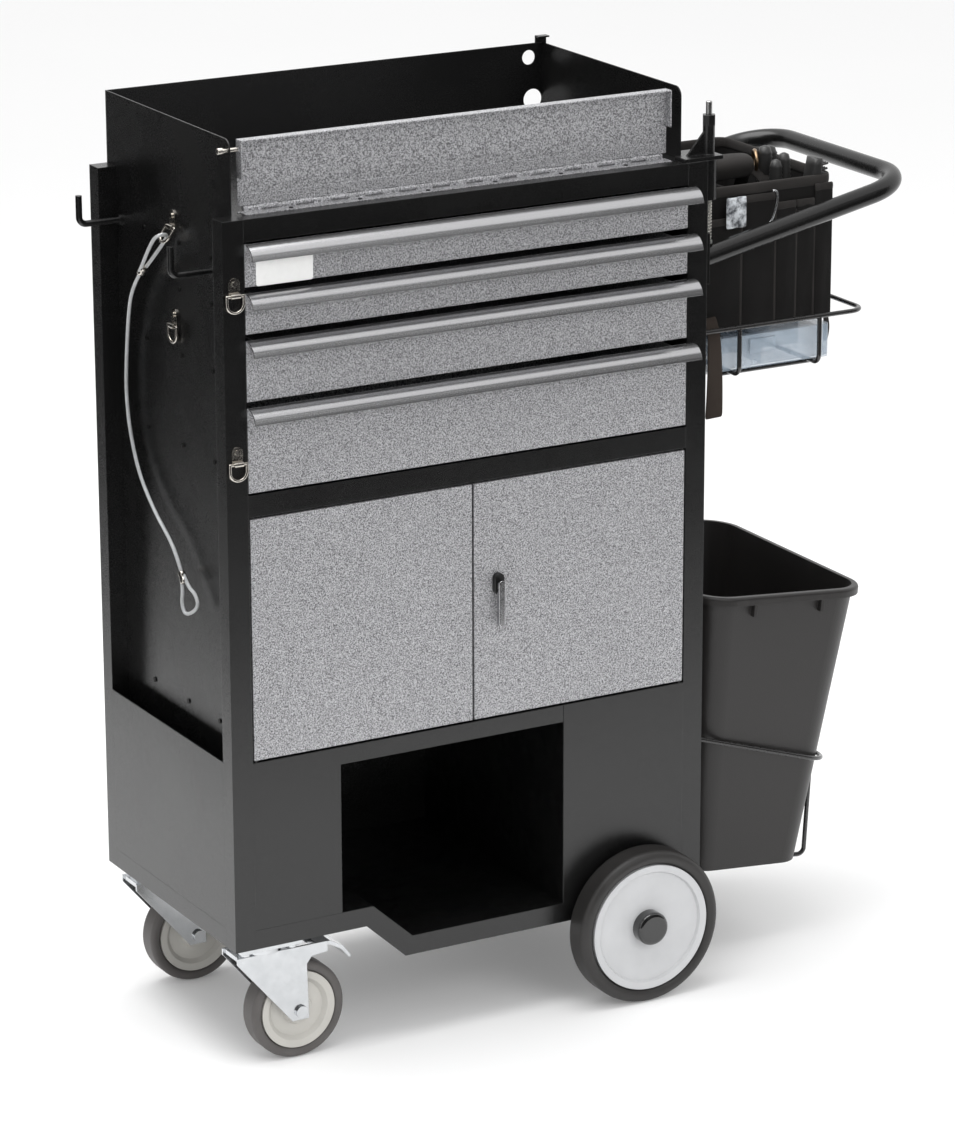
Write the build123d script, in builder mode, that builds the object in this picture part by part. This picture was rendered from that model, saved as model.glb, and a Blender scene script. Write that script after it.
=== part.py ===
from build123d import *
from math import cos, pi, radians, sin, tan
import os

# Service cart: a steel cabinet on two fixed wheels and two swivel casters, with four drawers,
# a two-door cupboard, an open bay below and a tray on top. Millimetres, +Z up, drawers face -Y.
# Everything is laid out about the cabinet's own centre line and moved once, when it is saved,
# so that the middle of the whole cart's footprint is the origin.
os.makedirs("parts", exist_ok=True)

# ---- cabinet
body_width = 666.0
body_depth = 364.0
frame_top = 1077.0
tray_height = 90.0
sheet = 1.5
post_width = 28.0
post_depth = 25.0
panel_recess = 24.0
rail_height = 27.0
base_left = 165.0
base_lip = 25.0
step_left = -143.0
step_right = -88.0
bay_left = -186.0
bay_right = 129.0
bay_top = 383.6
header_top = 406.0
door_height = 303.0
door_gap = 3.0
door_thick = 16.0
door_side_gap = 2.1
pocket_height = 215.0
seam = 0.8

# ---- drawers
drawer_gap = 8.0
drawer_heights = (51.0, 49.0, 74.0, 104.0)
drawer_reach = 310.0
drawer_side_gap = 17.5
drawer_top_gap = 3.0
drawer_bottom_gap = 3.0
runner_gap = 0.3
pull_reach = 20.0
pull_drop = 17.0
pull_past = 10.0

# ---- front flap of the tray
flap_half = 294.0
flap_height = 84.0
flap_flange = 12.5
flap_set_back = 37.5
flap_behind_post = 11.0
hinge_radius = 3.0
hinge_pin = 1.2
hinge_pitch = 23.0
leaf_width = 13.0
leaf_thick = 1.0
hinge_play = 0.3

# ---- fits
running = 0.05
seat_gap = 0.3

# ---- wheels
wheel_radius = 101.6
wheel_x = 233.0
base_above_axle = 13.4
tyre_width = 38.7
wheel_gap = 6.5
rim_radius = 83.3
axle_radius = 8.0
caster_radius = 63.5
caster_from_end = 50.0
caster_from_side = 38.0
caster_trail = 46.0
caster_tread = 32.0
caster_rim = 50.0
caster_plate_thick = 5.0
kingpin_radius = 6.0

# ---- things hung on the right end
handle_radius = 12.5
handle_bore = 10.5
handle_start_z = 951.0
handle_end_x = 645.0
handle_end_z = 1016.0
handle_half = 167.0
handle_bend = 60.0
basket_z = 850.0
basket_reach = 259.0
basket_half = 150.0
basket_drop = 62.0
basket_wire = 3.0
organizer_height = 43.0
organizer_length = 203.0
organizer_half = 136.0
bag_height = 195.0
bag_length = 215.0
bag_half = 135.0
bin_width = 255.0
bin_length = 366.0
bin_height = 381.0
bin_taper = 5.0
bin_wall = 2.2
bin_top_z = 509.0
bin_corner = 48.0
holder_wire = 3.0

# ---- small hardware
hook_rod = 4.0
hook_reach = 55.0
hook_rise = 36.0
ring_wire = 2.0
ring_width = 22.0
ring_drop = 20.0
lanyard_radius = 2.4
rivet_radius = 3.2

# ---- worked out from the values above
half_w = body_width / 2
half_d = body_depth / 2
base_right = wheel_radius + base_above_axle
caster_x = caster_from_end - half_w
caster_y = half_d - caster_from_side
inner_w = half_w - post_width
inner_d = half_d - post_depth
panel_x = half_w - panel_recess
tray_top = frame_top + tray_height
floor_left = base_left + base_lip
floor_right = base_right + base_lip
tray_front = -inner_d
top_rail_bottom = frame_top - rail_height
door_bottom = header_top + door_gap
door_top = door_bottom + door_height
mid_rail_bottom = door_top + door_gap
mid_rail_top = mid_rail_bottom + rail_height
drawer_tops = []
next_top = top_rail_bottom - drawer_gap / 2 + 1.0
for drawer_height in drawer_heights:
    drawer_tops.append(next_top)
    next_top -= drawer_height + drawer_gap
hook_tip_x = -panel_x - hook_reach - hook_rod
handle_out_x = handle_end_x + handle_radius
shift_x = -(hook_tip_x + handle_out_x) / 2


def block(low, high, mode=Mode.ADD):
    """A box from one corner to the opposite one."""
    size = [b - a for a, b in zip(low, high)]
    middle = [(a + b) / 2 for a, b in zip(low, high)]
    with Locations(tuple(middle)):
        Box(*size, mode=mode)


def rod(start, end, radius, mode=Mode.ADD):
    """A round bar between two points."""
    axis = Vector(*end) - Vector(*start)
    with BuildPart(mode=Mode.PRIVATE) as bar:
        with BuildSketch(Plane(origin=start, z_dir=axis)):
            Circle(radius)
        extrude(amount=axis.length)
    add(bar.part, mode=mode)


def plate(points, plane, amount, mode=Mode.ADD):
    """A flat plate of the outline through the points."""
    with BuildSketch(plane) as outline:
        with BuildLine():
            Polyline(*points, close=True)
        make_face()
    extrude(outline.sketch, amount=amount, mode=mode)


def bent_rod(points, bends, radius):
    """A round rod swept along runs joined by tangent bends, its ends square."""
    with BuildPart() as bent:
        with BuildLine() as path:
            FilletPolyline(*points, radius=bends)
        with BuildSketch(Plane(origin=path.line @ 0, z_dir=path.line % 0)):
            Circle(radius)
        sweep(path=path.line)
    return bent.part


def save(part, name):
    """Move a finished piece into the cart's frame, name it and write it."""
    placed = part.moved(Location((shift_x, 0, 0)))
    placed.label = name
    export_step(placed, f"parts/{name}.step")


# ---- corner posts: four box-section legs, open below and capped at the frame top
post_wall = 2.0
with BuildPart() as corner_posts:
    for side in (-1, 1):
        foot = base_left if side < 0 else base_right
        for end in (-1, 1):
            x_low, x_high = sorted((side * inner_w, side * half_w))
            y_low, y_high = sorted((end * inner_d, end * half_d))
            block((x_low, y_low, foot), (x_high, y_high, frame_top))
            block(
                (x_low + post_wall, y_low + post_wall, foot),
                (x_high - post_wall, y_high - post_wall, frame_top - post_wall),
                mode=Mode.SUBTRACT,
            )
save(corner_posts.part, "corner_posts")

# ---- front rails: two channels between the front posts, open to the back
with BuildPart() as front_rails:
    for low in (top_rail_bottom, mid_rail_bottom):
        block((-inner_w, -half_d, low), (inner_w, -inner_d, low + rail_height))
        block(
            (-inner_w, -half_d + sheet, low + sheet),
            (inner_w, -inner_d, low + rail_height - sheet),
            mode=Mode.SUBTRACT,
        )
save(front_rails.part, "front_rails")

# ---- side panels: one sheet from the base to the tray's top edge, set in behind the posts
panel_corner = 12.0
latch_z = tray_top - 13.0
latch_y = tray_front + 4.5
latch_radius = 2.5
for name, side, foot in (("left_side_panel", -1, floor_left), ("right_side_panel", 1, floor_right)):
    outline = [
        (-inner_d, foot),
        (inner_d, foot),
        (inner_d, frame_top),
        (half_d - sheet, frame_top),
        (half_d - sheet, tray_top),
        (tray_front, tray_top),
    ]
    with BuildPart() as side_panel:
        plate(outline, Plane.YZ.offset(side * (panel_x - sheet)), side * sheet)
        corner = side_panel.edges().filter_by(Axis.X).group_by(Axis.Z)[-1].sort_by(Axis.Y)[0]
        fillet(corner, panel_corner)
        if side < 0:
            latch_end = (-panel_x + sheet + 1, latch_y, latch_z)
            rod((-panel_x - 1, latch_y, latch_z), latch_end, latch_radius + running, Mode.SUBTRACT)
    save(side_panel.part, name)

# ---- back panel: closes the cabinet and stands up as the tray's back wall, with two outlet holes
small_hole = (288.0, tray_top - 18.0, 9.5)
large_hole = (294.0, tray_top - 73.0, 13.5)
with BuildPart() as back_panel:
    outline = [
        (-inner_w, floor_left),
        (step_left, floor_left),
        (step_right, floor_right),
        (inner_w, floor_right),
        (inner_w, frame_top),
        (panel_x, frame_top),
        (panel_x, tray_top),
        (-panel_x, tray_top),
        (-panel_x, frame_top),
        (-inner_w, frame_top),
    ]
    plate(outline, Plane.XZ.offset(-half_d), sheet)
    for hole_x, hole_z, hole_radius in (small_hole, large_hole):
        start = (hole_x, half_d - sheet - 1, hole_z)
        rod(start, (hole_x, half_d + 1, hole_z), hole_radius, Mode.SUBTRACT)
save(back_panel.part, "back_panel")

# ---- decks: tray floor, floor under the drawers and floor of the cupboard
mid_deck_top = mid_rail_top
with BuildPart() as decks:
    for top, front in ((frame_top, -inner_d), (mid_deck_top, -inner_d), (header_top, door_thick - half_d)):
        block((-panel_x + sheet, -inner_d, top - sheet), (panel_x - sheet, inner_d, top))
        block((-inner_w, front, top - sheet), (inner_w, half_d - sheet, top))
save(decks.part, "decks")

# ---- base pan: a folded floor with a lip all round, dropped in the middle and to the right
with BuildPart() as base_pan:
    outline = [
        (-half_w, base_left),
        (step_left - 9.5, base_left),
        (step_right - 10.1, base_right),
        (half_w, base_right),
        (half_w, floor_right),
        (step_right, floor_right),
        (step_left, floor_left),
        (-half_w, floor_left),
    ]
    plate(outline, Plane.XZ.offset(-half_d), body_depth)
    under = base_right - 10
    inside = [
        (sheet - half_w, under),
        (half_w - sheet, under),
        (half_w - sheet, floor_right - sheet),
        (step_right - 0.6, floor_right - sheet),
        (step_left - 0.6, floor_left - sheet),
        (sheet - half_w, floor_left - sheet),
    ]
    plate(inside, Plane.XZ.offset(sheet - half_d), body_depth - 2 * sheet, Mode.SUBTRACT)
    for side in (-1, 1):
        for end in (-1, 1):
            x_low, x_high = sorted((side * inner_w, side * half_w))
            y_low, y_high = sorted((end * inner_d, end * half_d))
            block((x_low, y_low, under), (x_high, y_high, floor_left + 1), mode=Mode.SUBTRACT)
save(base_pan.part, "base_pan")

# ---- lower front: a left panel that runs over the bay as a header, and a right panel
with BuildPart() as lower_front_panels:
    outline = [
        (-inner_w, floor_left),
        (bay_left, floor_left),
        (bay_left, bay_top),
        (bay_right - seam / 2, bay_top),
        (bay_right - seam / 2, header_top),
        (-inner_w, header_top),
    ]
    plate(outline, Plane.XZ.offset(half_d - sheet), sheet)
    block((bay_right + seam / 2, -half_d, floor_right), (inner_w, sheet - half_d, header_top))
    for x_low, x_high in ((-inner_w, bay_right - seam / 2), (bay_right + seam / 2, inner_w)):
        block((x_low, sheet - half_d, header_top - sheet), (x_high, door_thick - half_d, header_top))
save(lower_front_panels.part, "lower_front_panels")

# ---- bay walls: the two sheets that close the open bay off from the ends
with BuildPart() as bay_walls:
    for x_low, foot in ((bay_left - sheet, floor_left), (bay_right + seam / 2, floor_right)):
        top = header_top - sheet
        block((x_low, sheet - half_d, foot), (x_low + sheet, half_d - sheet, top))
save(bay_walls.part, "bay_walls")

# ---- side pocket: a sheet flush with the left posts, open along the top
with BuildPart() as side_pocket:
    top = floor_left + pocket_height
    block((-half_w, -inner_d, floor_left), (sheet - half_w, inner_d, top))
save(side_pocket.part, "side_pocket")

# ---- drawers: a front with a box behind it and a runner on each side, in rails on the side panels
box_half = inner_w - drawer_side_gap + 2.5
runner_out = box_half + 7.5
rail_in = runner_out + runner_gap
rail_tall = 16.0
runner_up = 9.0
with BuildPart() as drawer_slides:
    for top, tall in zip(drawer_tops, drawer_heights):
        low = top - tall + drawer_bottom_gap + runner_up
        for side in (-1, 1):
            x_low, x_high = sorted((side * rail_in, side * (panel_x - sheet)))
            block((x_low, -inner_d, low), (x_high, drawer_reach - half_d, low + rail_tall))
save(drawer_slides.part, "drawer_slides")

for number, (top, tall) in enumerate(zip(drawer_tops, drawer_heights), 1):
    foot = top - tall
    box_low = foot + drawer_bottom_gap
    box_top = top - drawer_top_gap
    box_back = drawer_reach - half_d
    with BuildPart() as drawer:
        block((-inner_w + 1, -half_d, foot), (inner_w - 1, sheet - half_d, top))
        block((-box_half, sheet - half_d, box_low), (box_half, box_back, box_top))
        block(
            (-box_half + sheet, 2 * sheet - half_d, box_low + sheet),
            (box_half - sheet, box_back - sheet, box_top),
            mode=Mode.SUBTRACT,
        )
        for side in (-1, 1):
            x_low, x_high = sorted((side * box_half, side * runner_out))
            low = box_low + runner_up + runner_gap
            high = box_low + runner_up + rail_tall - runner_gap
            block((x_low, sheet - half_d, low), (x_high, box_back, high))
    save(drawer.part, f"drawer_{number}")
    with BuildPart() as pull:
        with BuildSketch(Plane.YZ.offset(-inner_w + 2)):
            with BuildLine():
                front = -half_d
                lip = front - pull_reach
                outer = ((front, top), (front - 0.68 * pull_reach, top - 4.6), (lip, top - pull_drop))
                inner = (
                    (lip + sheet, top - pull_drop),
                    (front - 0.62 * pull_reach, top - 6.0),
                    (front, top - sheet),
                )
                ThreePointArc(*outer)
                Line(outer[2], inner[0])
                ThreePointArc(*inner)
                Line(inner[2], outer[0])
            make_face()
        extrude(amount=2 * inner_w - 2 + pull_past)
    save(pull.part, f"drawer_{number}_pull")

# ---- cupboard doors: two folded pans that turn on pins at their outer corners
pivot_in = 3.1
pivot_back = 3.4
door_pin = 1.5
door_edge = inner_w - door_side_gap
pivot_x = door_edge - pivot_in
pivot_y = -half_d + pivot_back
lock_x = 34.0
lock_z = 581.0
lock_shaft = 4.0
for name, side in (("door_left", -1), ("door_right", 1)):
    x_low, x_high = sorted((side * door_edge, side * door_gap / 2))
    with BuildPart() as door:
        block((x_low, -half_d, door_bottom), (x_high, door_thick - half_d, door_top))
        block(
            (x_low + sheet, sheet - half_d, door_bottom + sheet),
            (x_high - sheet, door_thick - half_d, door_top - sheet),
            mode=Mode.SUBTRACT,
        )
        hole = door_pin + running
        low_end = (side * pivot_x, pivot_y, door_bottom - 1)
        rod(low_end, (side * pivot_x, pivot_y, door_top + 1), hole, Mode.SUBTRACT)
        if side > 0:
            behind = (lock_x, sheet - half_d + 1, lock_z)
            rod((lock_x, -half_d - 1, lock_z), behind, lock_shaft + running, Mode.SUBTRACT)
    save(door.part, name)

with BuildPart() as door_pivots:
    washer = 2.6
    for side in (-1, 1):
        for seat, way in ((header_top, 1), (mid_rail_bottom, -1)):
            collar = seat + way * (door_gap - seat_gap)
            rod((side * pivot_x, pivot_y, seat), (side * pivot_x, pivot_y, collar), washer)
            tip = seat + way * (door_gap + sheet + 6)
            rod((side * pivot_x, pivot_y, collar), (side * pivot_x, pivot_y, tip), door_pin)
save(door_pivots.part, "door_pivots")

# ---- cupboard lock: a case on the right door, and a lever whose shaft carries the cam
case_wide = 13.6
case_tall = 28.0
case_proud = 7.0
lever_long = 54.0
lever_wide = 9.0
cam_y = door_thick - half_d + 1.2
with BuildPart() as lock_case:
    with BuildSketch(Plane(origin=(lock_x, -half_d, lock_z), x_dir=(1, 0, 0), z_dir=(0, -1, 0))):
        SlotOverall(case_tall, case_wide, rotation=90)
    extrude(amount=case_proud)
    top_edges = lock_case.faces().sort_by(Axis.Y)[0].edges()
    fillet(top_edges, 1.2)
    far = (lock_x, -half_d + 1, lock_z)
    rod((lock_x, -half_d - case_proud - 1, lock_z), far, lock_shaft + running, Mode.SUBTRACT)
save(lock_case.part, "lock_case")

with BuildPart() as lock_lever:
    lever_back = -half_d - case_proud - seat_gap
    rod((lock_x, lever_back, lock_z), (lock_x, cam_y + 2, lock_z), lock_shaft)
    with BuildSketch(Plane(origin=(lock_x, lever_back, lock_z), x_dir=(1, 0, 0), z_dir=(0, -1, 0))):
        with Locations((0, (6 - lever_long) / 2)):
            SlotOverall(lever_long + 6, lever_wide, rotation=90)
    extrude(amount=6)
    fillet(lock_lever.faces().sort_by(Axis.Y)[0].edges(), 1.5)
    block((lock_x - 5, cam_y, lock_z - 46), (lock_x + 5, cam_y + 2, lock_z + 5))
save(lock_lever.part, "lock_lever")

# ---- front flap of the tray on a piano hinge: knuckles in turn on the flap and on the ledge
hinge_y = flap_behind_post - inner_d
hinge_z = frame_top + hinge_radius + leaf_thick + hinge_play
flap_low = hinge_z + hinge_radius + 0.5
flap_top = flap_low + flap_height - hinge_radius - 1.1
knuckles = int(2 * flap_half / hinge_pitch)
if knuckles % 2 == 0:
    knuckles -= 1
first_x = -knuckles * hinge_pitch / 2
with BuildPart() as flap:
    block((-flap_half, hinge_y, flap_low), (flap_half, hinge_y + sheet, flap_top))
    front = hinge_y - flap_flange
    block((-flap_half, front, flap_top - sheet), (flap_half, hinge_y, flap_top))
    for side in (-1, 1):
        x_low, x_high = sorted((side * (flap_half - sheet), side * flap_half))
        block((x_low, front, hinge_z + flap_set_back), (x_high, hinge_y, flap_top))
    block((-flap_half + 2, hinge_y - 1, flap_low), (flap_half - 2, hinge_y, flap_low + leaf_width))
    for index in range(1, knuckles, 2):
        low = first_x + index * hinge_pitch + hinge_play
        high = first_x + (index + 1) * hinge_pitch - hinge_play
        rod((low, hinge_y, hinge_z), (high, hinge_y, hinge_z), hinge_radius)
        block((low, hinge_y - 1, hinge_z + hinge_pin + 0.6), (high, hinge_y, flap_low + 1))
    far = first_x + knuckles * hinge_pitch
    rod((first_x, hinge_y, hinge_z), (far, hinge_y, hinge_z), hinge_pin + running, Mode.SUBTRACT)
    latch_hole = (-flap_half - 1, latch_y, latch_z)
    latch_far = (-flap_half + sheet + 1, latch_y, latch_z)
    rod(latch_hole, latch_far, latch_radius + 4 * running, Mode.SUBTRACT)
save(flap.part, "flap")

with BuildPart() as flap_hinge:
    block((-flap_half + 2, hinge_y - 18, frame_top), (flap_half - 2, hinge_y, frame_top + 1))
    for index in range(0, knuckles, 2):
        low = first_x + index * hinge_pitch
        high = low + hinge_pitch
        rod((low, hinge_y, hinge_z), (high, hinge_y, hinge_z), hinge_radius)
        block((low, hinge_y - hinge_radius, frame_top), (high, hinge_y, hinge_z))
    rod((first_x, hinge_y, hinge_z), (far, hinge_y, hinge_z), hinge_pin)
    block((-flap_half - 1, hinge_y - hinge_radius, frame_top), (first_x, hinge_y, frame_top + 1))
save(flap_hinge.part, "flap_hinge")

with BuildPart() as flap_latch:
    knob_face = -panel_x - 7.0
    rod((knob_face, latch_y, latch_z), (-flap_half - 2, latch_y, latch_z), latch_radius)
    rod((knob_face - 7, latch_y, latch_z), (knob_face, latch_y, latch_z), 4.0)
    fillet(flap_latch.faces().sort_by(Axis.X)[0].edges(), 2.5)
save(flap_latch.part, "flap_latch")

# ---- hooks: two bent rods on the left panel and a flat hook on the tray's back edge
rear_hook = (148.0, 1012.0)
front_hook = (-108.0, 1001.0)
with BuildPart() as hooks:
    for hook_y, hook_z in (rear_hook, front_hook):
        root = (-panel_x, hook_y, hook_z)
        tip_x = -panel_x - hook_reach
        points = [root, (tip_x, hook_y, hook_z), (tip_x, hook_y, hook_z + hook_rise)]
        add(bent_rod(points, 9.0, hook_rod))
        rod(root, (-panel_x - 3, hook_y, hook_z), 7.0)
    flat_x = panel_x - 10
    back = half_d
    block((flat_x, back, tray_top - 22), (flat_x + 16, back + 2, tray_top + 9))
    block((flat_x, back - 8, tray_top + 7), (flat_x + 16, back, tray_top + 9))
save(hooks.part, "hooks")

# ---- accessory post on the front right corner: plate, tube, gusset and a sleeve below
post_x = half_w + 10.6
post_y = -half_d + 16.5
bracket_thick = 5.0
bracket_top = frame_top + bracket_thick
pin_radius = 4.0
guide_radius = 2.6
sleeve_low = frame_top - 52.0
spring_low = sleeve_low - 52.0
with BuildPart() as post_bracket:
    block((panel_x - 9, -half_d, frame_top), (post_x + 11, tray_front - 0.3, bracket_top))
    block((panel_x + 0.3, tray_front - 0.3, frame_top), (post_x + 11, tray_front + 23, bracket_top))
    rod((post_x, post_y, bracket_top), (post_x, post_y, bracket_top + 47), 7.5)
    with BuildSketch(Plane.XY.offset(bracket_top + 36)):
        with Locations((post_x, post_y)):
            RegularPolygon(8.6, 6)
    extrude(amount=13)
    gusset = [(post_x - 32, bracket_top), (post_x, bracket_top), (post_x, bracket_top + 30)]
    gusset += [(post_x - 6, bracket_top + 30)]
    plate(gusset, Plane.XZ.offset(-post_y - 1.5), 3)
    rod((post_x, post_y, sleeve_low), (post_x, post_y, frame_top), 10.0)
    bore_low = (post_x, post_y, sleeve_low - 1)
    rod(bore_low, (post_x, post_y, bracket_top + 60), guide_radius + running, Mode.SUBTRACT)
save(post_bracket.part, "post_bracket")

with BuildPart() as lock_pin:
    rod((post_x, post_y, spring_low - 4), (post_x, post_y, bracket_top + 66), guide_radius)
    rod((post_x, post_y, spring_low - 4), (post_x, post_y, spring_low), 6.0)
    rod((post_x, post_y, bracket_top + 49 + seat_gap), (post_x, post_y, bracket_top + 66), pin_radius)
    fillet(lock_pin.faces().sort_by(Axis.Z)[-1].edges(), 1.5)
save(lock_pin.part, "lock_pin")

with BuildPart() as pin_spring:
    coil_radius = 4.3
    coil_wire = 0.9
    coil_height = sleeve_low - spring_low - 2 * coil_wire - 0.4
    coil_start = spring_low + coil_wire + 0.2
    with BuildLine(Plane.XY.offset(coil_start)) as coil_path:
        Helix(pitch=coil_height / 13, height=coil_height, radius=coil_radius)
    with BuildSketch(Plane(origin=coil_path.line @ 0, z_dir=coil_path.line % 0)):
        Circle(coil_wire)
    sweep(path=coil_path.line, is_frenet=True)
coil = pin_spring.part.moved(Location((post_x, post_y, 0)))
save(coil, "pin_spring")

# ---- push handle: one tube bent round at both ends of its grip, on two flat brackets
bracket_face = half_w + 4.0
with BuildPart() as push_handle:
    rise = (handle_end_z - handle_start_z) / (handle_end_x - half_w)
    start_x = half_w - 30
    start_z = handle_start_z - 30 * rise
    with BuildLine() as handle_path:
        FilletPolyline(
            (start_x, -handle_half, start_z),
            (handle_end_x, -handle_half, handle_end_z),
            (handle_end_x, handle_half, handle_end_z),
            (start_x, handle_half, start_z),
            radius=handle_bend,
        )
    with BuildSketch(Plane(origin=handle_path.line @ 0, z_dir=handle_path.line % 0)):
        Circle(handle_radius)
        Circle(handle_bore, mode=Mode.SUBTRACT)
    sweep(path=handle_path.line)
    split(bisect_by=Plane.YZ.offset(bracket_face), keep=Keep.TOP)
    for end in (-1, 1):
        y_low, y_high = sorted((end * (handle_half - 13), end * (half_d)))
        block((half_w, y_low, handle_start_z - 30), (bracket_face, y_high, handle_start_z + 34))
save(push_handle.part, "push_handle")

# ---- small rivets: drawer rails to both side panels, and the screws of the cupboard floor
rivet_columns = (80.0, -16.0, -102.0)
rivet_head = 1.3
rivet_rows = [
    top - tall + drawer_bottom_gap + runner_up + rail_tall / 2
    for top, tall in zip(drawer_tops, drawer_heights)
]
rivet_rows.append(header_top + 31.0)
with BuildPart() as fasteners:
    for side in (-1, 1):
        for rivet_y in rivet_columns:
            for rivet_z in rivet_rows:
                seat = (side * panel_x, rivet_y, rivet_z)
                rod(seat, (side * (panel_x + rivet_head), rivet_y, rivet_z), rivet_radius)
    for index in range(6):
        screw_x = (index - 2.5) * 2 * flap_half / 6.4
        ledge = (screw_x, hinge_y - 11.5, frame_top + 1)
        rod(ledge, (screw_x, hinge_y - 11.5, frame_top + 2), 2.6)
save(fasteners.part, "fasteners")

# ---- wire basket on the right end: a ring, two hoops that hang from it and two bottom wires
basket_low = basket_z - basket_drop
basket_out = half_w + basket_reach
hoop_xs = (half_w + 70.0, half_w + 190.0)
with BuildPart() as wire_basket:
    ring = [
        (panel_x, -basket_half, basket_z),
        (basket_out, -basket_half, basket_z),
        (basket_out, basket_half, basket_z),
        (panel_x, basket_half, basket_z),
    ]
    add(bent_rod(ring, 20.0, basket_wire))
    for hoop_x in hoop_xs:
        hoop = [
            (hoop_x, -basket_half, basket_z),
            (hoop_x, -basket_half, basket_low),
            (hoop_x, basket_half, basket_low),
            (hoop_x, basket_half, basket_z),
        ]
        add(bent_rod(hoop, 12.0, basket_wire))
    for wire_y in (-basket_half + 34, 0.0, basket_half - 34):
        wire_z = basket_low - 1.6 * basket_wire
        rod((hoop_xs[0] - 18, wire_y, wire_z), (hoop_xs[1] + 18, wire_y, wire_z), basket_wire)
save(wire_basket.part, "wire_basket")

# ---- organizer box lying in the hoops: a shallow tray with dividers, a lid and a latch tab
organizer_low = basket_low + basket_wire + seat_gap
organizer_x = half_w + 12.0
organizer_wall = 2.0
organizer_top = organizer_low + organizer_height
with BuildPart() as organizer:
    out_x = organizer_x + organizer_length
    lid_low = organizer_top - 9
    block((organizer_x, -organizer_half, organizer_low), (out_x, organizer_half, organizer_top))
    edges = organizer.edges().filter_by(Axis.Z)
    fillet(edges, 6.0)
    cells = 4
    cell = (2 * organizer_half - organizer_wall) / cells
    for row in range(2):
        for column in range(cells):
            x_low = organizer_x + organizer_wall + row * (organizer_length - organizer_wall) / 2
            x_high = x_low + (organizer_length - 3 * organizer_wall) / 2
            y_low = -organizer_half + organizer_wall + column * cell
            y_high = y_low + cell - organizer_wall
            low = (x_low, y_low, organizer_low + organizer_wall)
            block(low, (x_high, y_high, lid_low + 7), mode=Mode.SUBTRACT)
    catch_low = (organizer_x + 80, -organizer_half - 5, lid_low - 14)
    block(catch_low, (organizer_x + 118, -organizer_half, lid_low + 4))
save(organizer.part, "organizer")

# ---- tool bag standing on the organizer inside the ring, and the tools that stick out of it
bag_low = organizer_top + seat_gap
bag_top = bag_low + bag_height
bag_x = half_w + 12.0
with BuildPart() as tool_bag:
    block((bag_x, -bag_half, bag_low), (bag_x + bag_length, bag_half, bag_top))
    fillet(tool_bag.edges().filter_by(Axis.Z), 22.0)
    fillet(tool_bag.faces().sort_by(Axis.Z)[-1].edges(), 8.0)
save(tool_bag.part, "tool_bag")

with BuildPart() as bag_tools:
    grip_z = bag_top + 15
    rod((bag_x + 62, -40, grip_z), (bag_x + 128, -40, grip_z), 15.0)
    block((bag_x + 184, -72, bag_top), (bag_x + 204, -12, bag_top + 26))
    block((bag_x + 140, 6, bag_top), (bag_x + 172, 52, bag_top + 22))
    rod((bag_x + 34, -92, bag_top), (bag_x + 34, -92, bag_top + 20), 9.0)
save(bag_tools.part, "bag_tools")

# ---- waste bin: a tapered tub with a rolled rim, leaning so that its inner side is upright
bin_rim = 7.0
rim_deep = 11.0
body_top_w = bin_width - 2 * bin_rim
body_top_l = bin_length - 2 * bin_rim
shrink = 2 * bin_height * tan(radians(bin_taper))
with BuildPart() as waste_bin:
    for wall, foot, mode in ((0.0, 0.0, Mode.ADD), (bin_wall, bin_wall, Mode.SUBTRACT)):
        with BuildSketch(Plane.XY.offset(foot)):
            RectangleRounded(body_top_w - shrink - 2 * wall, body_top_l - shrink - 2 * wall, 34 - wall)
        with BuildSketch(Plane.XY.offset(bin_height + (0.5 if wall else 0))):
            RectangleRounded(body_top_w - 2 * wall, body_top_l - 2 * wall, bin_corner - bin_rim - wall)
        loft(mode=mode)
    with BuildSketch(Plane.XY.offset(bin_height - rim_deep)):
        RectangleRounded(bin_width, bin_length, bin_corner)
        RectangleRounded(body_top_w - 1, body_top_l - 1, bin_corner - bin_rim, mode=Mode.SUBTRACT)
    extrude(amount=rim_deep)
    fillet(waste_bin.faces().sort_by(Axis.Z)[-1].outer_wire().edges(), 4.0)
    for side in (-1, 1):
        for lug_x in (-50.0, 52.0):
            y_low, y_high = sorted((side * (body_top_l / 2 - 4), side * (bin_length / 2 - 1)))
            low = (lug_x - 2.5, y_low, bin_height - rim_deep - 16)
            block(low, (lug_x + 2.5, y_high, bin_height - rim_deep))
tilt = radians(bin_taper)
corner_x = -bin_width / 2 * cos(tilt) + bin_height * sin(tilt)
corner_z = bin_width / 2 * sin(tilt) + bin_height * cos(tilt)
bin_x = half_w + 5.0 - corner_x
bin_z = bin_top_z - corner_z
tub = waste_bin.part.rotate(Axis.Y, bin_taper).moved(Location((bin_x, 0, bin_z)))
save(tub, "waste_bin")

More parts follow.
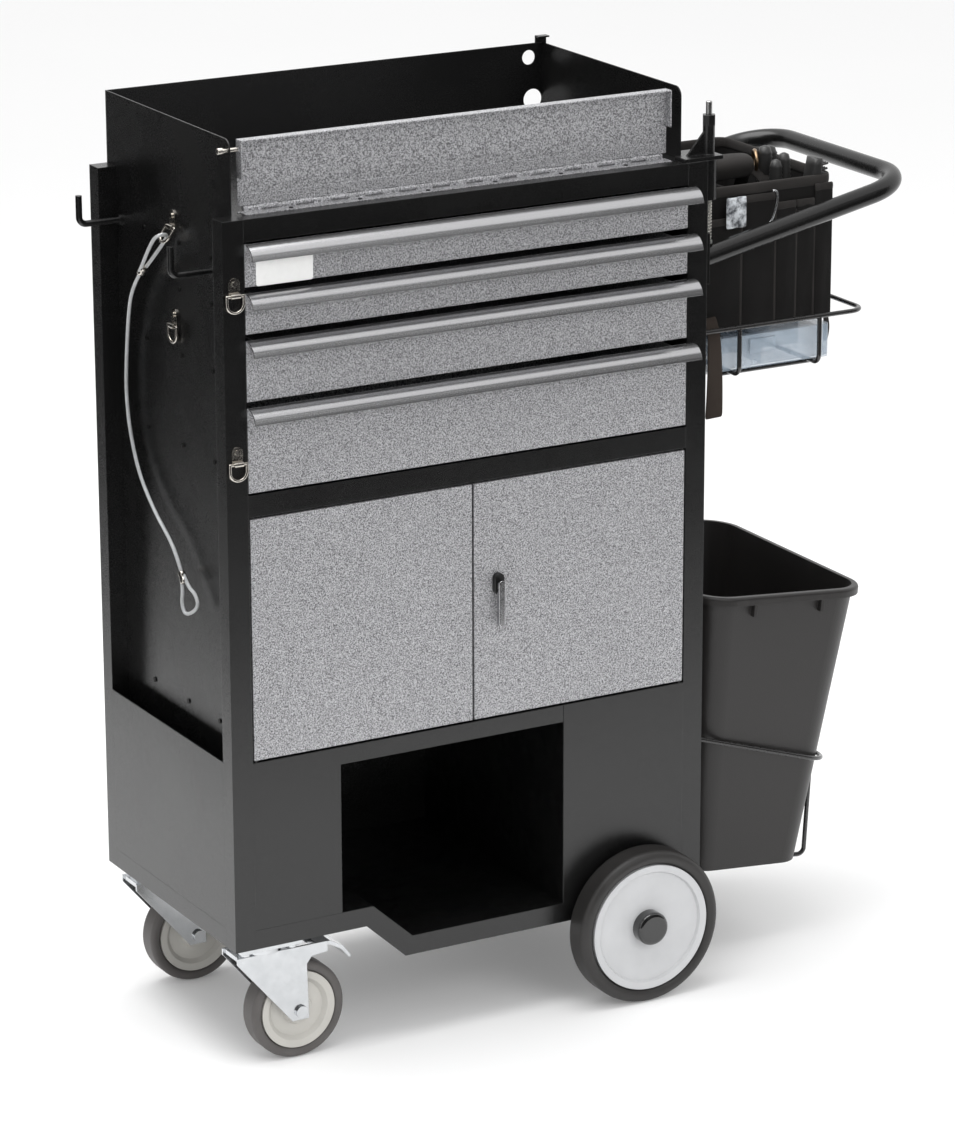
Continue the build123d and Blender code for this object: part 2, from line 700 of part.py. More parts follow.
# ---- bin holder: a sloping hoop round the tub and two bent wires that carry its floor
hoop_in_z = 320.0
hoop_reach = 215.5
hoop_out_x = half_w + hoop_reach
hoop_out_z = 250.0
holder_half = 164.5
foot_drop = (holder_wire + seat_gap) / cos(tilt)
foot_edge_x = bin_x + (body_top_w - shrink) / 2 * cos(tilt)
foot_edge_z = bin_z - (body_top_w - shrink) / 2 * sin(tilt) - foot_drop
elbow_x = hoop_out_x - 8.0
elbow_z = foot_edge_z - (elbow_x - foot_edge_x) * tan(tilt)
root_z = foot_edge_z + (foot_edge_x - half_w) * tan(tilt)
with BuildPart() as bin_holder:
    hoop = [
        (half_w + 1, -holder_half, hoop_in_z),
        (hoop_out_x, -holder_half, hoop_out_z),
        (hoop_out_x, holder_half, hoop_out_z),
        (half_w + 1, holder_half, hoop_in_z),
    ]
    add(bent_rod(hoop, 44.0, holder_wire))
    for wire_y in (-110.0, 110.0):
        leg = [
            (hoop_out_x + 1, wire_y, hoop_out_z),
            (elbow_x, wire_y, elbow_z),
            (half_w + 0.3, wire_y, root_z),
        ]
        add(bent_rod(leg, 9.0, holder_wire))
save(bin_holder.part, "bin_holder")

# ---- big wheels: moulded tyres on dished discs, each with a hub cap, on one fixed axle
wheel_in = half_d + wheel_gap
wheel_out = wheel_in + tyre_width
axle_end = wheel_out - 7.0
hub_in = wheel_in + 1.0
hub_out = wheel_out - 9.0
hub_radius = 24.0
cap_radius = 22.0
cap_long = 17.0
axle_axis = Axis((wheel_x, 0, wheel_radius), (0, 1, 0))
with BuildPart() as wheel_axle:
    rod((wheel_x, -axle_end, wheel_radius), (wheel_x, axle_end, wheel_radius), axle_radius)
    for side in (-1, 1):
        start = (wheel_x, side * (half_d - 6), wheel_radius)
        rod(start, (wheel_x, side * (hub_in - seat_gap), wheel_radius), axle_radius + 4)
        y_low, y_high = sorted((side * (half_d - 26), side * (half_d - 6)))
        low = (wheel_x - 22, y_low, wheel_radius - axle_radius - 3)
        block(low, (wheel_x + 22, y_high, floor_right - sheet))
save(wheel_axle.part, "wheel_axle")

for place, side in (("front", -1), ("rear", 1)):
    section = Plane(origin=(wheel_x, 0, wheel_radius), x_dir=(0, side, 0), z_dir=(side, 0, 0))
    with BuildPart() as tyre:
        with BuildSketch(section):
            with Locations(((wheel_in + wheel_out) / 2, (wheel_radius + rim_radius) / 2)):
                Rectangle(tyre_width, wheel_radius - rim_radius - running)
            fillet(vertices().group_by(Axis.Z)[-1], 9.0)
        revolve(axis=axle_axis)
    save(tyre.part, f"wheel_tyre_{place}")
    with BuildPart() as disc:
        outline = [
            (hub_in, axle_radius + running),
            (hub_out, axle_radius + running),
            (hub_out, hub_radius),
            (wheel_out - 9, 32),
            (wheel_out - 6, rim_radius - 11),
            (wheel_out - 2.5, rim_radius - 9),
            (wheel_out - 1.5, rim_radius),
            (wheel_in + 1.5, rim_radius),
            (wheel_in + 1.5, rim_radius - 4),
            (wheel_out - 12, rim_radius - 12),
            (wheel_out - 14, 32),
            (hub_in, hub_radius),
        ]
        with BuildSketch(section):
            with BuildLine():
                Polyline(*outline, close=True)
            make_face()
        revolve(axis=axle_axis)
    save(disc.part, f"wheel_disc_{place}")
    with BuildPart() as cap:
        start = (wheel_x, side * hub_out, wheel_radius)
        rod(start, (wheel_x, side * (hub_out + cap_long), wheel_radius), cap_radius)
        outer_face = cap.faces().sort_by(Axis.Y)[0 if side < 0 else -1]
        fillet(outer_face.edges(), 6.0)
        far = (wheel_x, side * (axle_end + 2), wheel_radius)
        rod((wheel_x, side * (hub_out - 1), wheel_radius), far, axle_radius + 1.5, Mode.SUBTRACT)
    save(cap.part, f"wheel_cap_{place}")

# ---- casters: a bolted plate with its race and kingpin, a pressed fork, a hub and a tread
plate_low = base_left - caster_plate_thick
race_low = plate_low - 10.0
crown_top = race_low - 0.3
crown_low = crown_top - 5.7
fork_half = caster_tread / 2 + 3.0
fork_sheet = 3.0
nut_low = crown_low - 8.0
caster_axle = 5.0
with BuildPart() as caster_plates:
    for side in (-1, 1):
        y = side * caster_y
        block((caster_x - 42, y - 37, plate_low), (caster_x + 42, y + 37, base_left))
        rod((caster_x, y, race_low), (caster_x, y, plate_low), 27.0)
        rod((caster_x, y, nut_low), (caster_x, y, race_low), kingpin_radius)
        rod((caster_x, y, nut_low), (caster_x, y, crown_low - seat_gap), 10.0)
        for bolt_x in (-32, 32):
            for bolt_y in (-27, 27):
                bolt = (caster_x + bolt_x, y + bolt_y, plate_low - 5)
                rod(bolt, (caster_x + bolt_x, y + bolt_y, plate_low), 5.5)
save(caster_plates.part, "caster_plates")

wheel_mid = caster_x + caster_trail
pedal_x = caster_x + 77.0
pedal_z = crown_low - 2.0
pedal_pin = 2.5
for place, side in (("front", -1), ("rear", 1)):
    y = side * caster_y
    with BuildPart() as fork:
        crown_half = fork_half + fork_sheet
        crown_near = (caster_x - 38, y - crown_half, crown_low)
        block(crown_near, (caster_x + 38, y + crown_half, crown_top))
        bore_low = (caster_x, y, crown_low - 1)
        bore_high = (caster_x, y, crown_top + 1)
        rod(bore_low, bore_high, kingpin_radius + running, Mode.SUBTRACT)
        leg = [
            (-40, crown_top),
            (-40, crown_low - 3),
            (34, caster_radius - 11),
            (57, caster_radius - 11),
            (55, crown_low - 19),
            (62, crown_low - 10),
            (84, crown_low - 8),
            (84, crown_top),
        ]
        leg = [(caster_x + px, pz) for px, pz in leg]
        for end in (-1, 1):
            face_y = y + end * fork_half
            plate(leg, Plane.XZ.offset(-face_y), -end * fork_sheet)
            bolt = (wheel_mid, face_y, caster_radius)
            rod(bolt, (wheel_mid, face_y + end * (fork_sheet + 4), caster_radius), 8.0)
        bolt = (wheel_mid, y - fork_half, caster_radius)
        rod(bolt, (wheel_mid, y + fork_half, caster_radius), caster_axle)
        if side < 0:
            start = (pedal_x, y - fork_half, pedal_z)
            rod(start, (pedal_x, y + fork_half, pedal_z), pedal_pin)
    save(fork.part, f"caster_fork_{place}")
    caster_axis = Axis((wheel_mid, y, caster_radius), (0, 1, 0))
    section = Plane(origin=(wheel_mid, y, caster_radius), x_dir=(0, 1, 0), z_dir=(1, 0, 0))
    with BuildPart() as hub:
        half = caster_tread / 2
        outline = [
            (-half - 1.5, caster_axle + running),
            (half + 1.5, caster_axle + running),
            (half + 1.5, 17),
            (half - 5, 20),
            (half - 7, 36),
            (half - 2, 41),
            (half - 0.5, caster_rim),
            (0.5 - half, caster_rim),
            (2 - half, 41),
            (7 - half, 36),
            (5 - half, 20),
            (-half - 1.5, 17),
        ]
        with BuildSketch(section):
            with BuildLine():
                Polyline(*outline, close=True)
            make_face()
        revolve(axis=caster_axis)
    save(hub.part, f"caster_hub_{place}")
    with BuildPart() as tread:
        with BuildSketch(section):
            with Locations((0, (caster_radius + caster_rim + running) / 2)):
                Rectangle(caster_tread, caster_radius - caster_rim - running)
            fillet(vertices().group_by(Axis.Z)[-1], 6.0)
        revolve(axis=caster_axis)
    save(tread.part, f"caster_tread_{place}")

# ---- brake pedal of the front caster, on a pin between the ends of its fork
with BuildPart() as brake_pedal:
    y_low = -caster_y - fork_half + 0.4
    y_high = -caster_y + fork_half - 0.4
    outline = [
        (pedal_x - 5, pedal_z + 5),
        (pedal_x + 12, pedal_z + 6),
        (pedal_x + 30, pedal_z - 4),
        (pedal_x + 42, pedal_z - 20),
        (pedal_x + 38, pedal_z - 21),
        (pedal_x + 27, pedal_z - 8),
        (pedal_x + 11, pedal_z + 1),
        (pedal_x - 5, pedal_z - 5),
    ]
    plate(outline, Plane.XZ.offset(-y_high), y_high - y_low)
    start = (pedal_x, y_low - 1, pedal_z)
    rod(start, (pedal_x, y_high + 1, pedal_z), pedal_pin + running, Mode.SUBTRACT)
save(brake_pedal.part, "brake_pedal")

# ---- ring tabs: small straps riveted on, each with a barrel round the straight side of a D ring
barrel_out = 3.8
barrel_radius = 3.6
barrel_half = 6.0
tab_half = 7.0
tab_tall = 21.0
tab_up = 14.0
pulled_out = 35.0
tab_places = (
    ("left", -2.0, 1047.0),
    ("left", -1.0, 925.0),
    ("front", -half_w + post_width / 2, 1002.0),
    ("front", -half_w + post_width / 2, 798.0),
)


def tab_plane(face, along, rivet_z):
    """The frame of a tab: X along its ring's straight side, Y up, Z out of the surface."""
    if face == "left":
        origin = (-panel_x - barrel_out, along, rivet_z - tab_up)
        return Plane(origin=origin, x_dir=(0, -1, 0), z_dir=(-1, 0, 0))
    origin = (along, -half_d - barrel_out, rivet_z - tab_up)
    return Plane(origin=origin, x_dir=(1, 0, 0), z_dir=(0, -1, 0))


with BuildPart() as d_ring:
    half = ring_width / 2
    path = [(-half, 0, 0), (-half, -ring_drop, 0), (half, -ring_drop, 0), (half, 0, 0)]
    add(bent_rod(path, half - 0.1, ring_wire))
    rod((-half, 0, 0), (half, 0, 0), ring_wire)
    for corner in (-half, half):
        with Locations((corner, 0, 0)):
            Sphere(ring_wire)

with BuildPart() as tab:
    block((-tab_half, 0, -barrel_out), (tab_half, tab_tall - tab_half, sheet - barrel_out))
    rod((0, tab_tall - tab_half, -barrel_out), (0, tab_tall - tab_half, sheet - barrel_out), tab_half)
    rod((-barrel_half, 0, 0), (barrel_half, 0, 0), barrel_radius)
    rod((-tab_half - 1, 0, 0), (tab_half + 1, 0, 0), ring_wire + running, Mode.SUBTRACT)
    rod((0, tab_up, sheet - barrel_out), (0, tab_up, sheet - barrel_out + 2), rivet_radius)

with BuildPart() as ring_tabs:
    for index, place in enumerate(tab_places):
        frame = tab_plane(*place)
        add(tab.part.moved(frame.location))
        if index == 0:
            add(d_ring.part.rotate(Axis.X, -pulled_out).moved(frame.location))
        else:
            save(d_ring.part.moved(frame.location), f"d_ring_{index}")
save(ring_tabs.part, "ring_tabs")

# ---- lanyard: coated wire rope that hangs from the first ring, with a crimped eye at each end
lanyard_x = -panel_x - barrel_out - ring_drop * sin(radians(pulled_out))
ring_y = tab_places[0][1]
ring_z = tab_places[0][2] - tab_up - ring_drop * cos(radians(pulled_out))
ferrule_long = 16.0
ferrule_radius = 5.2
lanyard_points = [
    (lanyard_x, ring_y + 63.7, ring_z - 52.3),
    (-323.6, 89.0, 939.5),
    (-321.6, 105.0, 899.0),
    (-319.0, 118.0, 851.0),
    (-319.5, 122.0, 800.0),
    (-319.0, 113.0, 748.0),
    (-319.5, 89.0, 703.0),
    (-320.0, 50.0, 669.0),
    (-321.0, 10.0, 647.0),
    (-321.0, -14.0, 629.0),
    (-322.0, -29.0, 610.0),
]


def corner_radii(points):
    """The largest tangent arc at each corner of a route, within 0.45 of its shorter run."""
    radii = []
    for before, here, after in zip(points, points[1:], points[2:]):
        run_in = Vector(*here) - Vector(*before)
        run_out = Vector(*after) - Vector(*here)
        half_turn = radians(run_in.get_angle(run_out)) / 2
        radii.append(0.45 * min(run_in.length, run_out.length) / tan(half_turn))
    return radii


radii = corner_radii(lanyard_points)
print("lanyard radii", [round(value) for value in radii])
lanyard_cable = bent_rod(lanyard_points, radii, lanyard_radius)
lanyard_length = lanyard_cable.volume / (pi * lanyard_radius**2)
runs = [(Vector(*b) - Vector(*a)).length for a, b in zip(lanyard_points, lanyard_points[1:])]
print("lanyard length", round(lanyard_length, 1), "runs", [round(run) for run in runs])
save(lanyard_cable, "lanyard_cable")


def crimped_eye(end, inward, across, outline, bends):
    """A ferrule on the cable's end, and a loop of cable beyond it, as one solid."""
    along = (Vector(*end) - Vector(*inward)).normalized()
    across = (across - along * along.dot(across)).normalized()
    seat = Vector(*end) + along * ferrule_long
    points = [tuple(seat + along * far + across * wide) for far, wide in outline]
    with BuildPart() as eye:
        rod(end, tuple(seat), ferrule_radius)
        add(bent_rod(points, bends, lanyard_radius))
    return eye.part


hairpin = [(-3, 2.7), (72, 8.0), (72, -8.0), (-3, -2.7)]
top_eye = crimped_eye(lanyard_points[0], lanyard_points[1], Vector(1, 0, 0), hairpin, 7.0)
loop = [(-3, 2.7), (18, 10), (36, 10), (36, -10), (18, -10), (-3, -2.7)]
turned = Vector(0.5, 0.7, -0.5)
low_eye = crimped_eye(lanyard_points[-1], lanyard_points[-2], turned, loop, [12, 9.2, 9.2, 12])
with BuildPart() as lanyard_eyes:
    add(top_eye)
    add(low_eye)
save(lanyard_eyes.part, "lanyard_eyes")
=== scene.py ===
from math import cos, pi, radians, sin

import bmesh
import bpy
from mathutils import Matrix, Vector


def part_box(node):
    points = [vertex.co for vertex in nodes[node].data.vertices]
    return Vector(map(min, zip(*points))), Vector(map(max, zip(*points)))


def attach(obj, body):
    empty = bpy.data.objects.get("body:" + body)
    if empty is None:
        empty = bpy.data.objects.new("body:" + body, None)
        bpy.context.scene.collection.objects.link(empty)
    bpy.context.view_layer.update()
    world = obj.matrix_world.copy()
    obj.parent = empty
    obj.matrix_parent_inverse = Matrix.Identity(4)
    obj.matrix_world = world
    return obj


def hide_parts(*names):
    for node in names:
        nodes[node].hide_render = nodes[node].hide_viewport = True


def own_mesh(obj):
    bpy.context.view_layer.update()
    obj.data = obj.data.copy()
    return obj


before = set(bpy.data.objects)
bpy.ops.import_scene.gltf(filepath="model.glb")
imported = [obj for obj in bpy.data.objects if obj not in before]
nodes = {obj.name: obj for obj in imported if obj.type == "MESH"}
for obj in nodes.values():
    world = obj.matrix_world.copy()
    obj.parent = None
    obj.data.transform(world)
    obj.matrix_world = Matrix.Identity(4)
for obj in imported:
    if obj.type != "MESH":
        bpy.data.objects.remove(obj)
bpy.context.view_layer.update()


# ---- cabinet
# The carcass, posts, decks and drop-down base of folded 1.5 mm sheet steel, spot-welded and
# sprayed with a fine-texture black powder coat that is thin and bright on the folds.
class Link:
    """A socket of a material. Arithmetic on it adds Math nodes, node() adds any other node."""

    def __init__(self, socket):
        self.socket = socket

    def node(self, kind, settings=None, inputs=None, output=0):
        made = self.socket.id_data.nodes.new("ShaderNode" + kind)
        for name, value in (settings or {}).items():
            if name == "stops":
                ramp = made.color_ramp.elements
                while len(ramp) < len(value):
                    ramp.new(1.0)
                for stop, (place, shade) in zip(ramp, value):
                    stop.position = place
                    stop.color = (*shade, 1.0)
            else:
                setattr(made, name, value)
        for name, value in (inputs or {}).items():
            Link.feed(made.inputs[name], value)
        return Link(made.outputs[output])

    @staticmethod
    def feed(socket, value):
        if isinstance(value, Link):
            socket.id_data.links.new(value.socket, socket)
        else:
            socket.default_value = value

    def math(self, operation, first, second, clamp=False):
        settings = {"operation": operation, "use_clamp": clamp}
        return self.node("Math", settings, {0: first, 1: second})

    def __add__(self, other):
        return self.math("ADD", self, other)

    def __sub__(self, other):
        return self.math("SUBTRACT", self, other)

    def __rsub__(self, other):
        return self.math("SUBTRACT", other, self)

    def __mul__(self, other):
        return self.math("MULTIPLY", self, other)

    __radd__ = __add__
    __rmul__ = __mul__

    def above(self, low, high):
        """0 below low, 1 above high, and straight between them."""
        return self.math("MULTIPLY", self - low, 1 / (high - low), clamp=True)

    def blend(self, low, high):
        """The colour low where this is 0 and high where it is 1."""
        low, high = (c if isinstance(c, Link) else (*c, 1.0) for c in (low, high))
        return self.node("Mix", {"data_type": "RGBA"}, {0: self, 6: low, 7: high}, output=2)

    def noise(self, scale, detail=2.0, roughness=0.5):
        sizes = {"Vector": self, "Scale": scale, "Detail": detail, "Roughness": roughness}
        return self.node("TexNoise", None, sizes)

    def cells(self, scale, feature="F1"):
        return self.node("TexVoronoi", {"feature": feature}, {"Vector": self, "Scale": scale})

    def stretched(self, factors):
        """These coordinates with each axis multiplied by its factor."""
        return self.node("VectorMath", {"operation": "MULTIPLY"}, {0: self, 1: factors})

    def bump(self, height, deep, strength=1.0, edge=0.0):
        """The normal of this height in metres, over edges that are rounded by edge metres."""
        inputs = {"Height": height, "Distance": deep, "Strength": strength}
        if edge:
            inputs["Normal"] = self.node("Bevel", {"samples": 4}, {"Radius": edge})
        return self.node("Bump", None, inputs)


def new_finish(name, **fixed):
    """A material, its shader's sockets and its coordinates; fixed sockets are even all over."""
    finish = bpy.data.materials.new(name)
    finish.use_nodes = True
    tree = finish.node_tree
    sockets = tree.nodes["Principled BSDF"].inputs
    for key, value in fixed.items():
        sockets[key.replace("_", " ")].default_value = value
    return finish, sockets, Link(tree.nodes.new("ShaderNodeTexCoord").outputs["Object"])


def powder_coat():
    finish, shader, place = new_finish("black_powder_coat", IOR=1.6)
    cloud = place.noise(9.0, 3.0)
    grain = place.noise(1500.0, 1.0)
    Link.feed(shader["Base Color"], cloud.blend((0.0035, 0.0035, 0.0036), (0.0058, 0.0057, 0.0057)))
    Link.feed(shader["Roughness"], cloud * 0.08 + grain * 0.06 + 0.20)
    Link.feed(shader["Normal"], place.bump(grain, 0.00025, 0.35, edge=0.0011))
    return finish


def dress(finish, slot, *names):
    """Puts a finish on CAD nodes; its slot argument is not used."""
    for name in names:
        node = nodes[name]
        node.data.materials.clear()
        node.data.materials.append(finish)


carcass = ("corner_posts", "front_rails", "left_side_panel", "right_side_panel", "back_panel")
lower = ("decks", "base_pan", "lower_front_panels", "bay_walls", "side_pocket", "door_pivots")
coat = powder_coat()
dress(coat, "black_powder_coat", *carcass, *lower, "hooks", "post_bracket")


# ---- hammertone fronts
# Drawer boxes, cupboard doors and the tray's flap, folded from the same sheet and sprayed with
# a silver hammer-finish paint whose flakes gather into small pale flecks on a darker ground.
def hammertone():
    finish, shader, place = new_finish("silver_hammertone", Metallic=0.45)
    flakes = place.node(
        "TexNoise",
        None,
        {"Vector": place, "Scale": 620.0, "Detail": 2.0, "Roughness": 0.6, "Distortion": 0.6},
    )
    fleck = flakes.above(0.38, 0.63)
    broad = place.noise(6.0, 2.0)
    ground = broad.blend((0.110, 0.110, 0.115), (0.135, 0.135, 0.140))
    Link.feed(shader["Base Color"], fleck.blend(ground, (0.58, 0.58, 0.60)))
    Link.feed(shader["Roughness"], 0.52 - fleck * 0.14)
    Link.feed(shader["Normal"], place.bump(flakes, 0.0007, 0.6, edge=0.0009))
    return finish


drawers = [f"drawer_{number}" for number in range(1, 5)]
hammer = hammertone()
dress(hammer, "silver_hammertone", *drawers, "door_left", "door_right", "flap")


# ---- drawer pulls
# Rolled lips along the top of each drawer front, sprayed a smooth silver, with faint drag lines
# from the rolling.
def pull_paint():
    finish, shader, place = new_finish("pull_silver", Metallic=0.92)
    drag = place.stretched((4.0, 900.0, 900.0)).noise(1.0, 2.0)
    Link.feed(shader["Base Color"], drag.blend((0.44, 0.44, 0.45), (0.56, 0.56, 0.57)))
    Link.feed(shader["Roughness"], drag * 0.10 + 0.17)
    Link.feed(shader["Normal"], place.bump(drag, 0.0001, 0.4, edge=0.0006))
    return finish


dress(pull_paint(), "pull_silver", *[f"{name}_pull" for name in drawers])


# ---- slides, hinge, tabs and fasteners
# Rolled drawer slides, the pin and the axle in zinc plate, with the mottled spangle of a passivated
# plate, black screws, and nickel ring tabs riveted on. The piano hinge is sprayed with its flap.
def plated(name, low, high, rough, edge=0.0004):
    finish, shader, place = new_finish(name, Metallic=1.0)
    spangle = place.noise(70.0, 4.0, 0.6)
    wear = place.noise(900.0, 2.0)
    Link.feed(shader["Base Color"], spangle.blend(low, high))
    Link.feed(shader["Roughness"], spangle * 0.14 + wear * 0.06 + rough)
    Link.feed(shader["Normal"], place.bump(wear, 0.00006, 0.5, edge=edge))
    return finish


zinc = plated("zinc_plate", (0.42, 0.42, 0.42), (0.66, 0.66, 0.65), 0.22)
dress(zinc, "zinc_plate", "drawer_slides", "lock_pin", "wheel_axle")
dress(hammer, "zinc_plate", "flap_hinge")
oxide = plated("black_oxide", (0.020, 0.020, 0.021), (0.060, 0.058, 0.056), 0.30)
dress(oxide, "zinc_plate", "fasteners")
nickel = plated("nickel_ring", (0.46, 0.43, 0.39), (0.70, 0.67, 0.62), 0.14)
dress(nickel, "nickel_ring", "flap_latch", "ring_tabs", "d_ring_1", "d_ring_2", "d_ring_3")
spring = plated("spring_steel", (0.50, 0.48, 0.44), (0.72, 0.70, 0.66), 0.18)


# ---- cupboard lock
# A die-cast case in dark plate, screwed to the right door, with a chromed swing lever that turns
# a cam behind the door.
dark_plate = plated("lock_dark", (0.035, 0.035, 0.036), (0.075, 0.075, 0.075), 0.24)
dress(dark_plate, "lock_dark", "lock_case")
lock_chrome = plated("lock_chrome", (0.34, 0.34, 0.35), (0.52, 0.52, 0.53), 0.08)
dress(lock_chrome, "lock_chrome", "lock_lever")


# ---- drawer label
# A blank white vinyl label on the top drawer, where a name plate would go. It is cut with round
# corners and stuck on.
def vinyl():
    finish, shader, place = new_finish("label_white", Coat_Weight=0.4)
    mottle = place.noise(160.0, 3.0)
    Link.feed(shader["Base Color"], mottle.blend((0.74, 0.74, 0.73), (0.82, 0.82, 0.81)))
    Link.feed(shader["Roughness"], mottle * 0.12 + 0.28)
    return finish


def round_rectangle(width, height, radius, steps=6):
    """The corners of a rectangle with rounded corners, anticlockwise about its middle."""
    points = []
    for corner, (sx, sy) in enumerate(((1, 1), (-1, 1), (-1, -1), (1, -1))):
        middle = (sx * (width / 2 - radius), sy * (height / 2 - radius))
        for step in range(steps + 1):
            turn = (corner + step / steps) * pi / 2
            points.append((middle[0] + radius * cos(turn), middle[1] + radius * sin(turn)))
    return points


def new_mesh(name, verts, faces, finish, smooth=True):
    """A mesh object of one finish, with its faces turned outwards."""
    mesh = bpy.data.meshes.new(name)
    mesh.from_pydata([tuple(v) for v in verts], [], faces)
    shape = bmesh.new()
    shape.from_mesh(mesh)
    bmesh.ops.recalc_face_normals(shape, faces=shape.faces)
    shape.to_mesh(mesh)
    shape.free()
    mesh.materials.append(finish)
    mesh.polygons.foreach_set("use_smooth", [smooth] * len(mesh.polygons))
    made = bpy.data.objects.new(name, mesh)
    bpy.context.scene.collection.objects.link(made)
    return made


def modify(made, kind, **settings):
    """Adds a modifier and applies it, so the mesh holds its result."""
    added = made.modifiers.new(kind.title(), kind)
    for name, value in settings.items():
        setattr(added, name, value)
    graph = bpy.context.evaluated_depsgraph_get()
    mesh = bpy.data.meshes.new_from_object(made.evaluated_get(graph))
    made.modifiers.clear()
    made.data = mesh
    return made


drawer_low, drawer_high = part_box("drawer_1")
label_size = (0.075, 0.036)
label_corner = 0.003
label_thick = 0.0003
label_lift = 0.0001
label_from_end = 0.052
label_below_middle = 0.008
middle_z = (drawer_low.z + drawer_high.z) / 2 - label_below_middle
label_middle = (drawer_low.x + label_from_end, middle_z)
outline = round_rectangle(*label_size, label_corner)
label_faces = [list(range(len(outline)))]
face_y = drawer_low.y - label_lift
label_verts = [(label_middle[0] + x, face_y, label_middle[1] + z) for x, z in outline]
label = new_mesh("drawer_label", label_verts, label_faces, vinyl(), smooth=False)
modify(label, "SOLIDIFY", thickness=label_thick, offset=1.0)
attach(label, "drawer_1")


# ---- push handle
# One length of steel tube bent round the end of the cart, welded to a folded bracket on each
# side and sprayed a smooth satin black.
def satin_black():
    finish, shader, place = new_finish("handle_black")
    cloud = place.noise(14.0, 3.0)
    wear = place.noise(260.0, 3.0)
    Link.feed(shader["Base Color"], cloud.blend((0.0040, 0.0039, 0.0039), (0.0065, 0.0064, 0.0063)))
    Link.feed(shader["Roughness"], cloud * 0.06 + wear * 0.06 + 0.20)
    Link.feed(shader["Normal"], place.bump(wear, 0.00005, 0.5, edge=0.0008))
    return finish


dress(satin_black(), "handle_black", "push_handle")


# ---- basket and bin holder
# Bent and spot-welded steel wire, dipped in gloss black plastic that sags into small runs. Both
# are carried by the cabinet's right end.
def dipped_wire():
    finish, shader, place = new_finish("black_wire", Coat_Weight=0.5, Coat_Roughness=0.12)
    runs = place.noise(120.0, 2.0)
    Link.feed(shader["Base Color"], runs.blend((0.010, 0.010, 0.010), (0.017, 0.016, 0.016)))
    Link.feed(shader["Roughness"], runs * 0.12 + 0.22)
    Link.feed(shader["Normal"], place.bump(runs, 0.0003, 0.4))
    return finish


dress(dipped_wire(), "black_wire", "wire_basket", "bin_holder")


# ---- waste bin
# An injection-moulded bin of brown-black polyethylene with a pebbled grain, and a painted highlight
# in pale blotches along the band under its rolled rim.
def bin_plastic():
    finish, shader, place = new_finish("bin_plastic")
    pebble = place.cells(620.0)
    cloud = place.noise(11.0, 4.0)
    height = place.node("SeparateXYZ", None, {0: place}, output=2)
    rim_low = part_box("waste_bin")[1].z - 0.045
    # Painted highlight: pale blotches over the bin's top band, just below its rim, in place of
    # light catching the rim.
    painted_rim_highlight = height.above(rim_low, rim_low + 0.05) * place.noise(45.0, 4.0).above(0.45, 0.75)
    ground = cloud.blend((0.0115, 0.0104, 0.0100), (0.0175, 0.0158, 0.0152))
    # The dark ground is lifted towards pale grey where the painted rim highlight lies.
    Link.feed(shader["Base Color"], (painted_rim_highlight * 0.30).blend(ground, (0.060, 0.056, 0.054)))
    Link.feed(shader["Roughness"], cloud * 0.12 + painted_rim_highlight * 0.08 + 0.34)
    Link.feed(shader["Normal"], place.bump(pebble, 0.00022, 0.5, edge=0.0010))
    return finish


dress(bin_plastic(), "bin_plastic", "waste_bin")


# ---- organizer
# A lidded compartment box of clear polypropylene, cloudy where the moulding flowed, with a snap
# latch on its long side.
def clear_plastic():
    finish, shader, place = new_finish("clear_plastic", IOR=1.45, Coat_Weight=0.6)
    flow = place.noise(24.0, 4.0)
    Link.feed(shader["Base Color"], flow.blend((0.27, 0.34, 0.42), (0.50, 0.58, 0.66)))
    Link.feed(shader["Alpha"], flow * 0.24 + 0.26)
    Link.feed(shader["Roughness"], flow * 0.10 + 0.14)
    Link.feed(shader["Normal"], place.bump(flow, 0.0008, 0.3, edge=0.0006))
    return finish


dress(clear_plastic(), "clear_plastic", "organizer")


# ---- big wheels
# Solid black rubber tyres pressed on pale moulded discs, each with a gloss black cap snapped
# over the axle's end.
def rubber(name, low, high, rough):
    finish, shader, place = new_finish(name)
    dust = place.noise(36.0, 4.0)
    skin = place.noise(900.0, 2.0)
    Link.feed(shader["Base Color"], dust.blend(low, high))
    Link.feed(shader["Roughness"], dust * 0.14 + skin * 0.06 + rough)
    Link.feed(shader["Normal"], place.bump(skin, 0.00012, 0.5, edge=0.0012))
    return finish


def moulding(name, low, high, rough, **fixed):
    finish, shader, place = new_finish(name, **fixed)
    flow = place.noise(30.0, 3.0)
    grain = place.noise(1100.0, 1.0)
    Link.feed(shader["Base Color"], flow.blend(low, high))
    Link.feed(shader["Roughness"], flow * 0.10 + rough)
    Link.feed(shader["Normal"], place.bump(grain, 0.00010, 0.4, edge=0.0010))
    return finish


tyre = rubber("black_rubber", (0.017, 0.0160, 0.0155), (0.030, 0.028, 0.027), 0.38)
disc = moulding("white_disc", (0.46, 0.465, 0.475), (0.56, 0.565, 0.575), 0.30)
cap = moulding("black_cap", (0.008, 0.008, 0.008), (0.013, 0.013, 0.013), 0.06, Coat_Weight=0.8)
for side in ("front", "rear"):
    dress(tyre, "black_rubber", f"wheel_tyre_{side}")
    dress(disc, "white_disc", f"wheel_disc_{side}")
    dress(cap, "black_cap", f"wheel_cap_{side}")


# ---- casters
# Pressed steel forks and plates in bright zinc, grey tread bonded to beige moulded hubs, and a
# bent brake pedal on the front one.
bright = plated("bright_zinc", (0.50, 0.515, 0.53), (0.74, 0.755, 0.77), 0.10, edge=0.0007)
beige = moulding("beige_plastic", (0.43, 0.42, 0.39), (0.53, 0.515, 0.48), 0.34)
tread = rubber("grey_rubber", (0.070, 0.064, 0.062), (0.105, 0.098, 0.094), 0.42)
dress(bright, "bright_zinc", "caster_plates", "brake_pedal")
for side in ("front", "rear"):
    dress(bright, "bright_zinc", f"caster_fork_{side}")
    dress(beige, "beige_plastic", f"caster_hub_{side}")
    dress(tread, "grey_rubber", f"caster_tread_{side}")


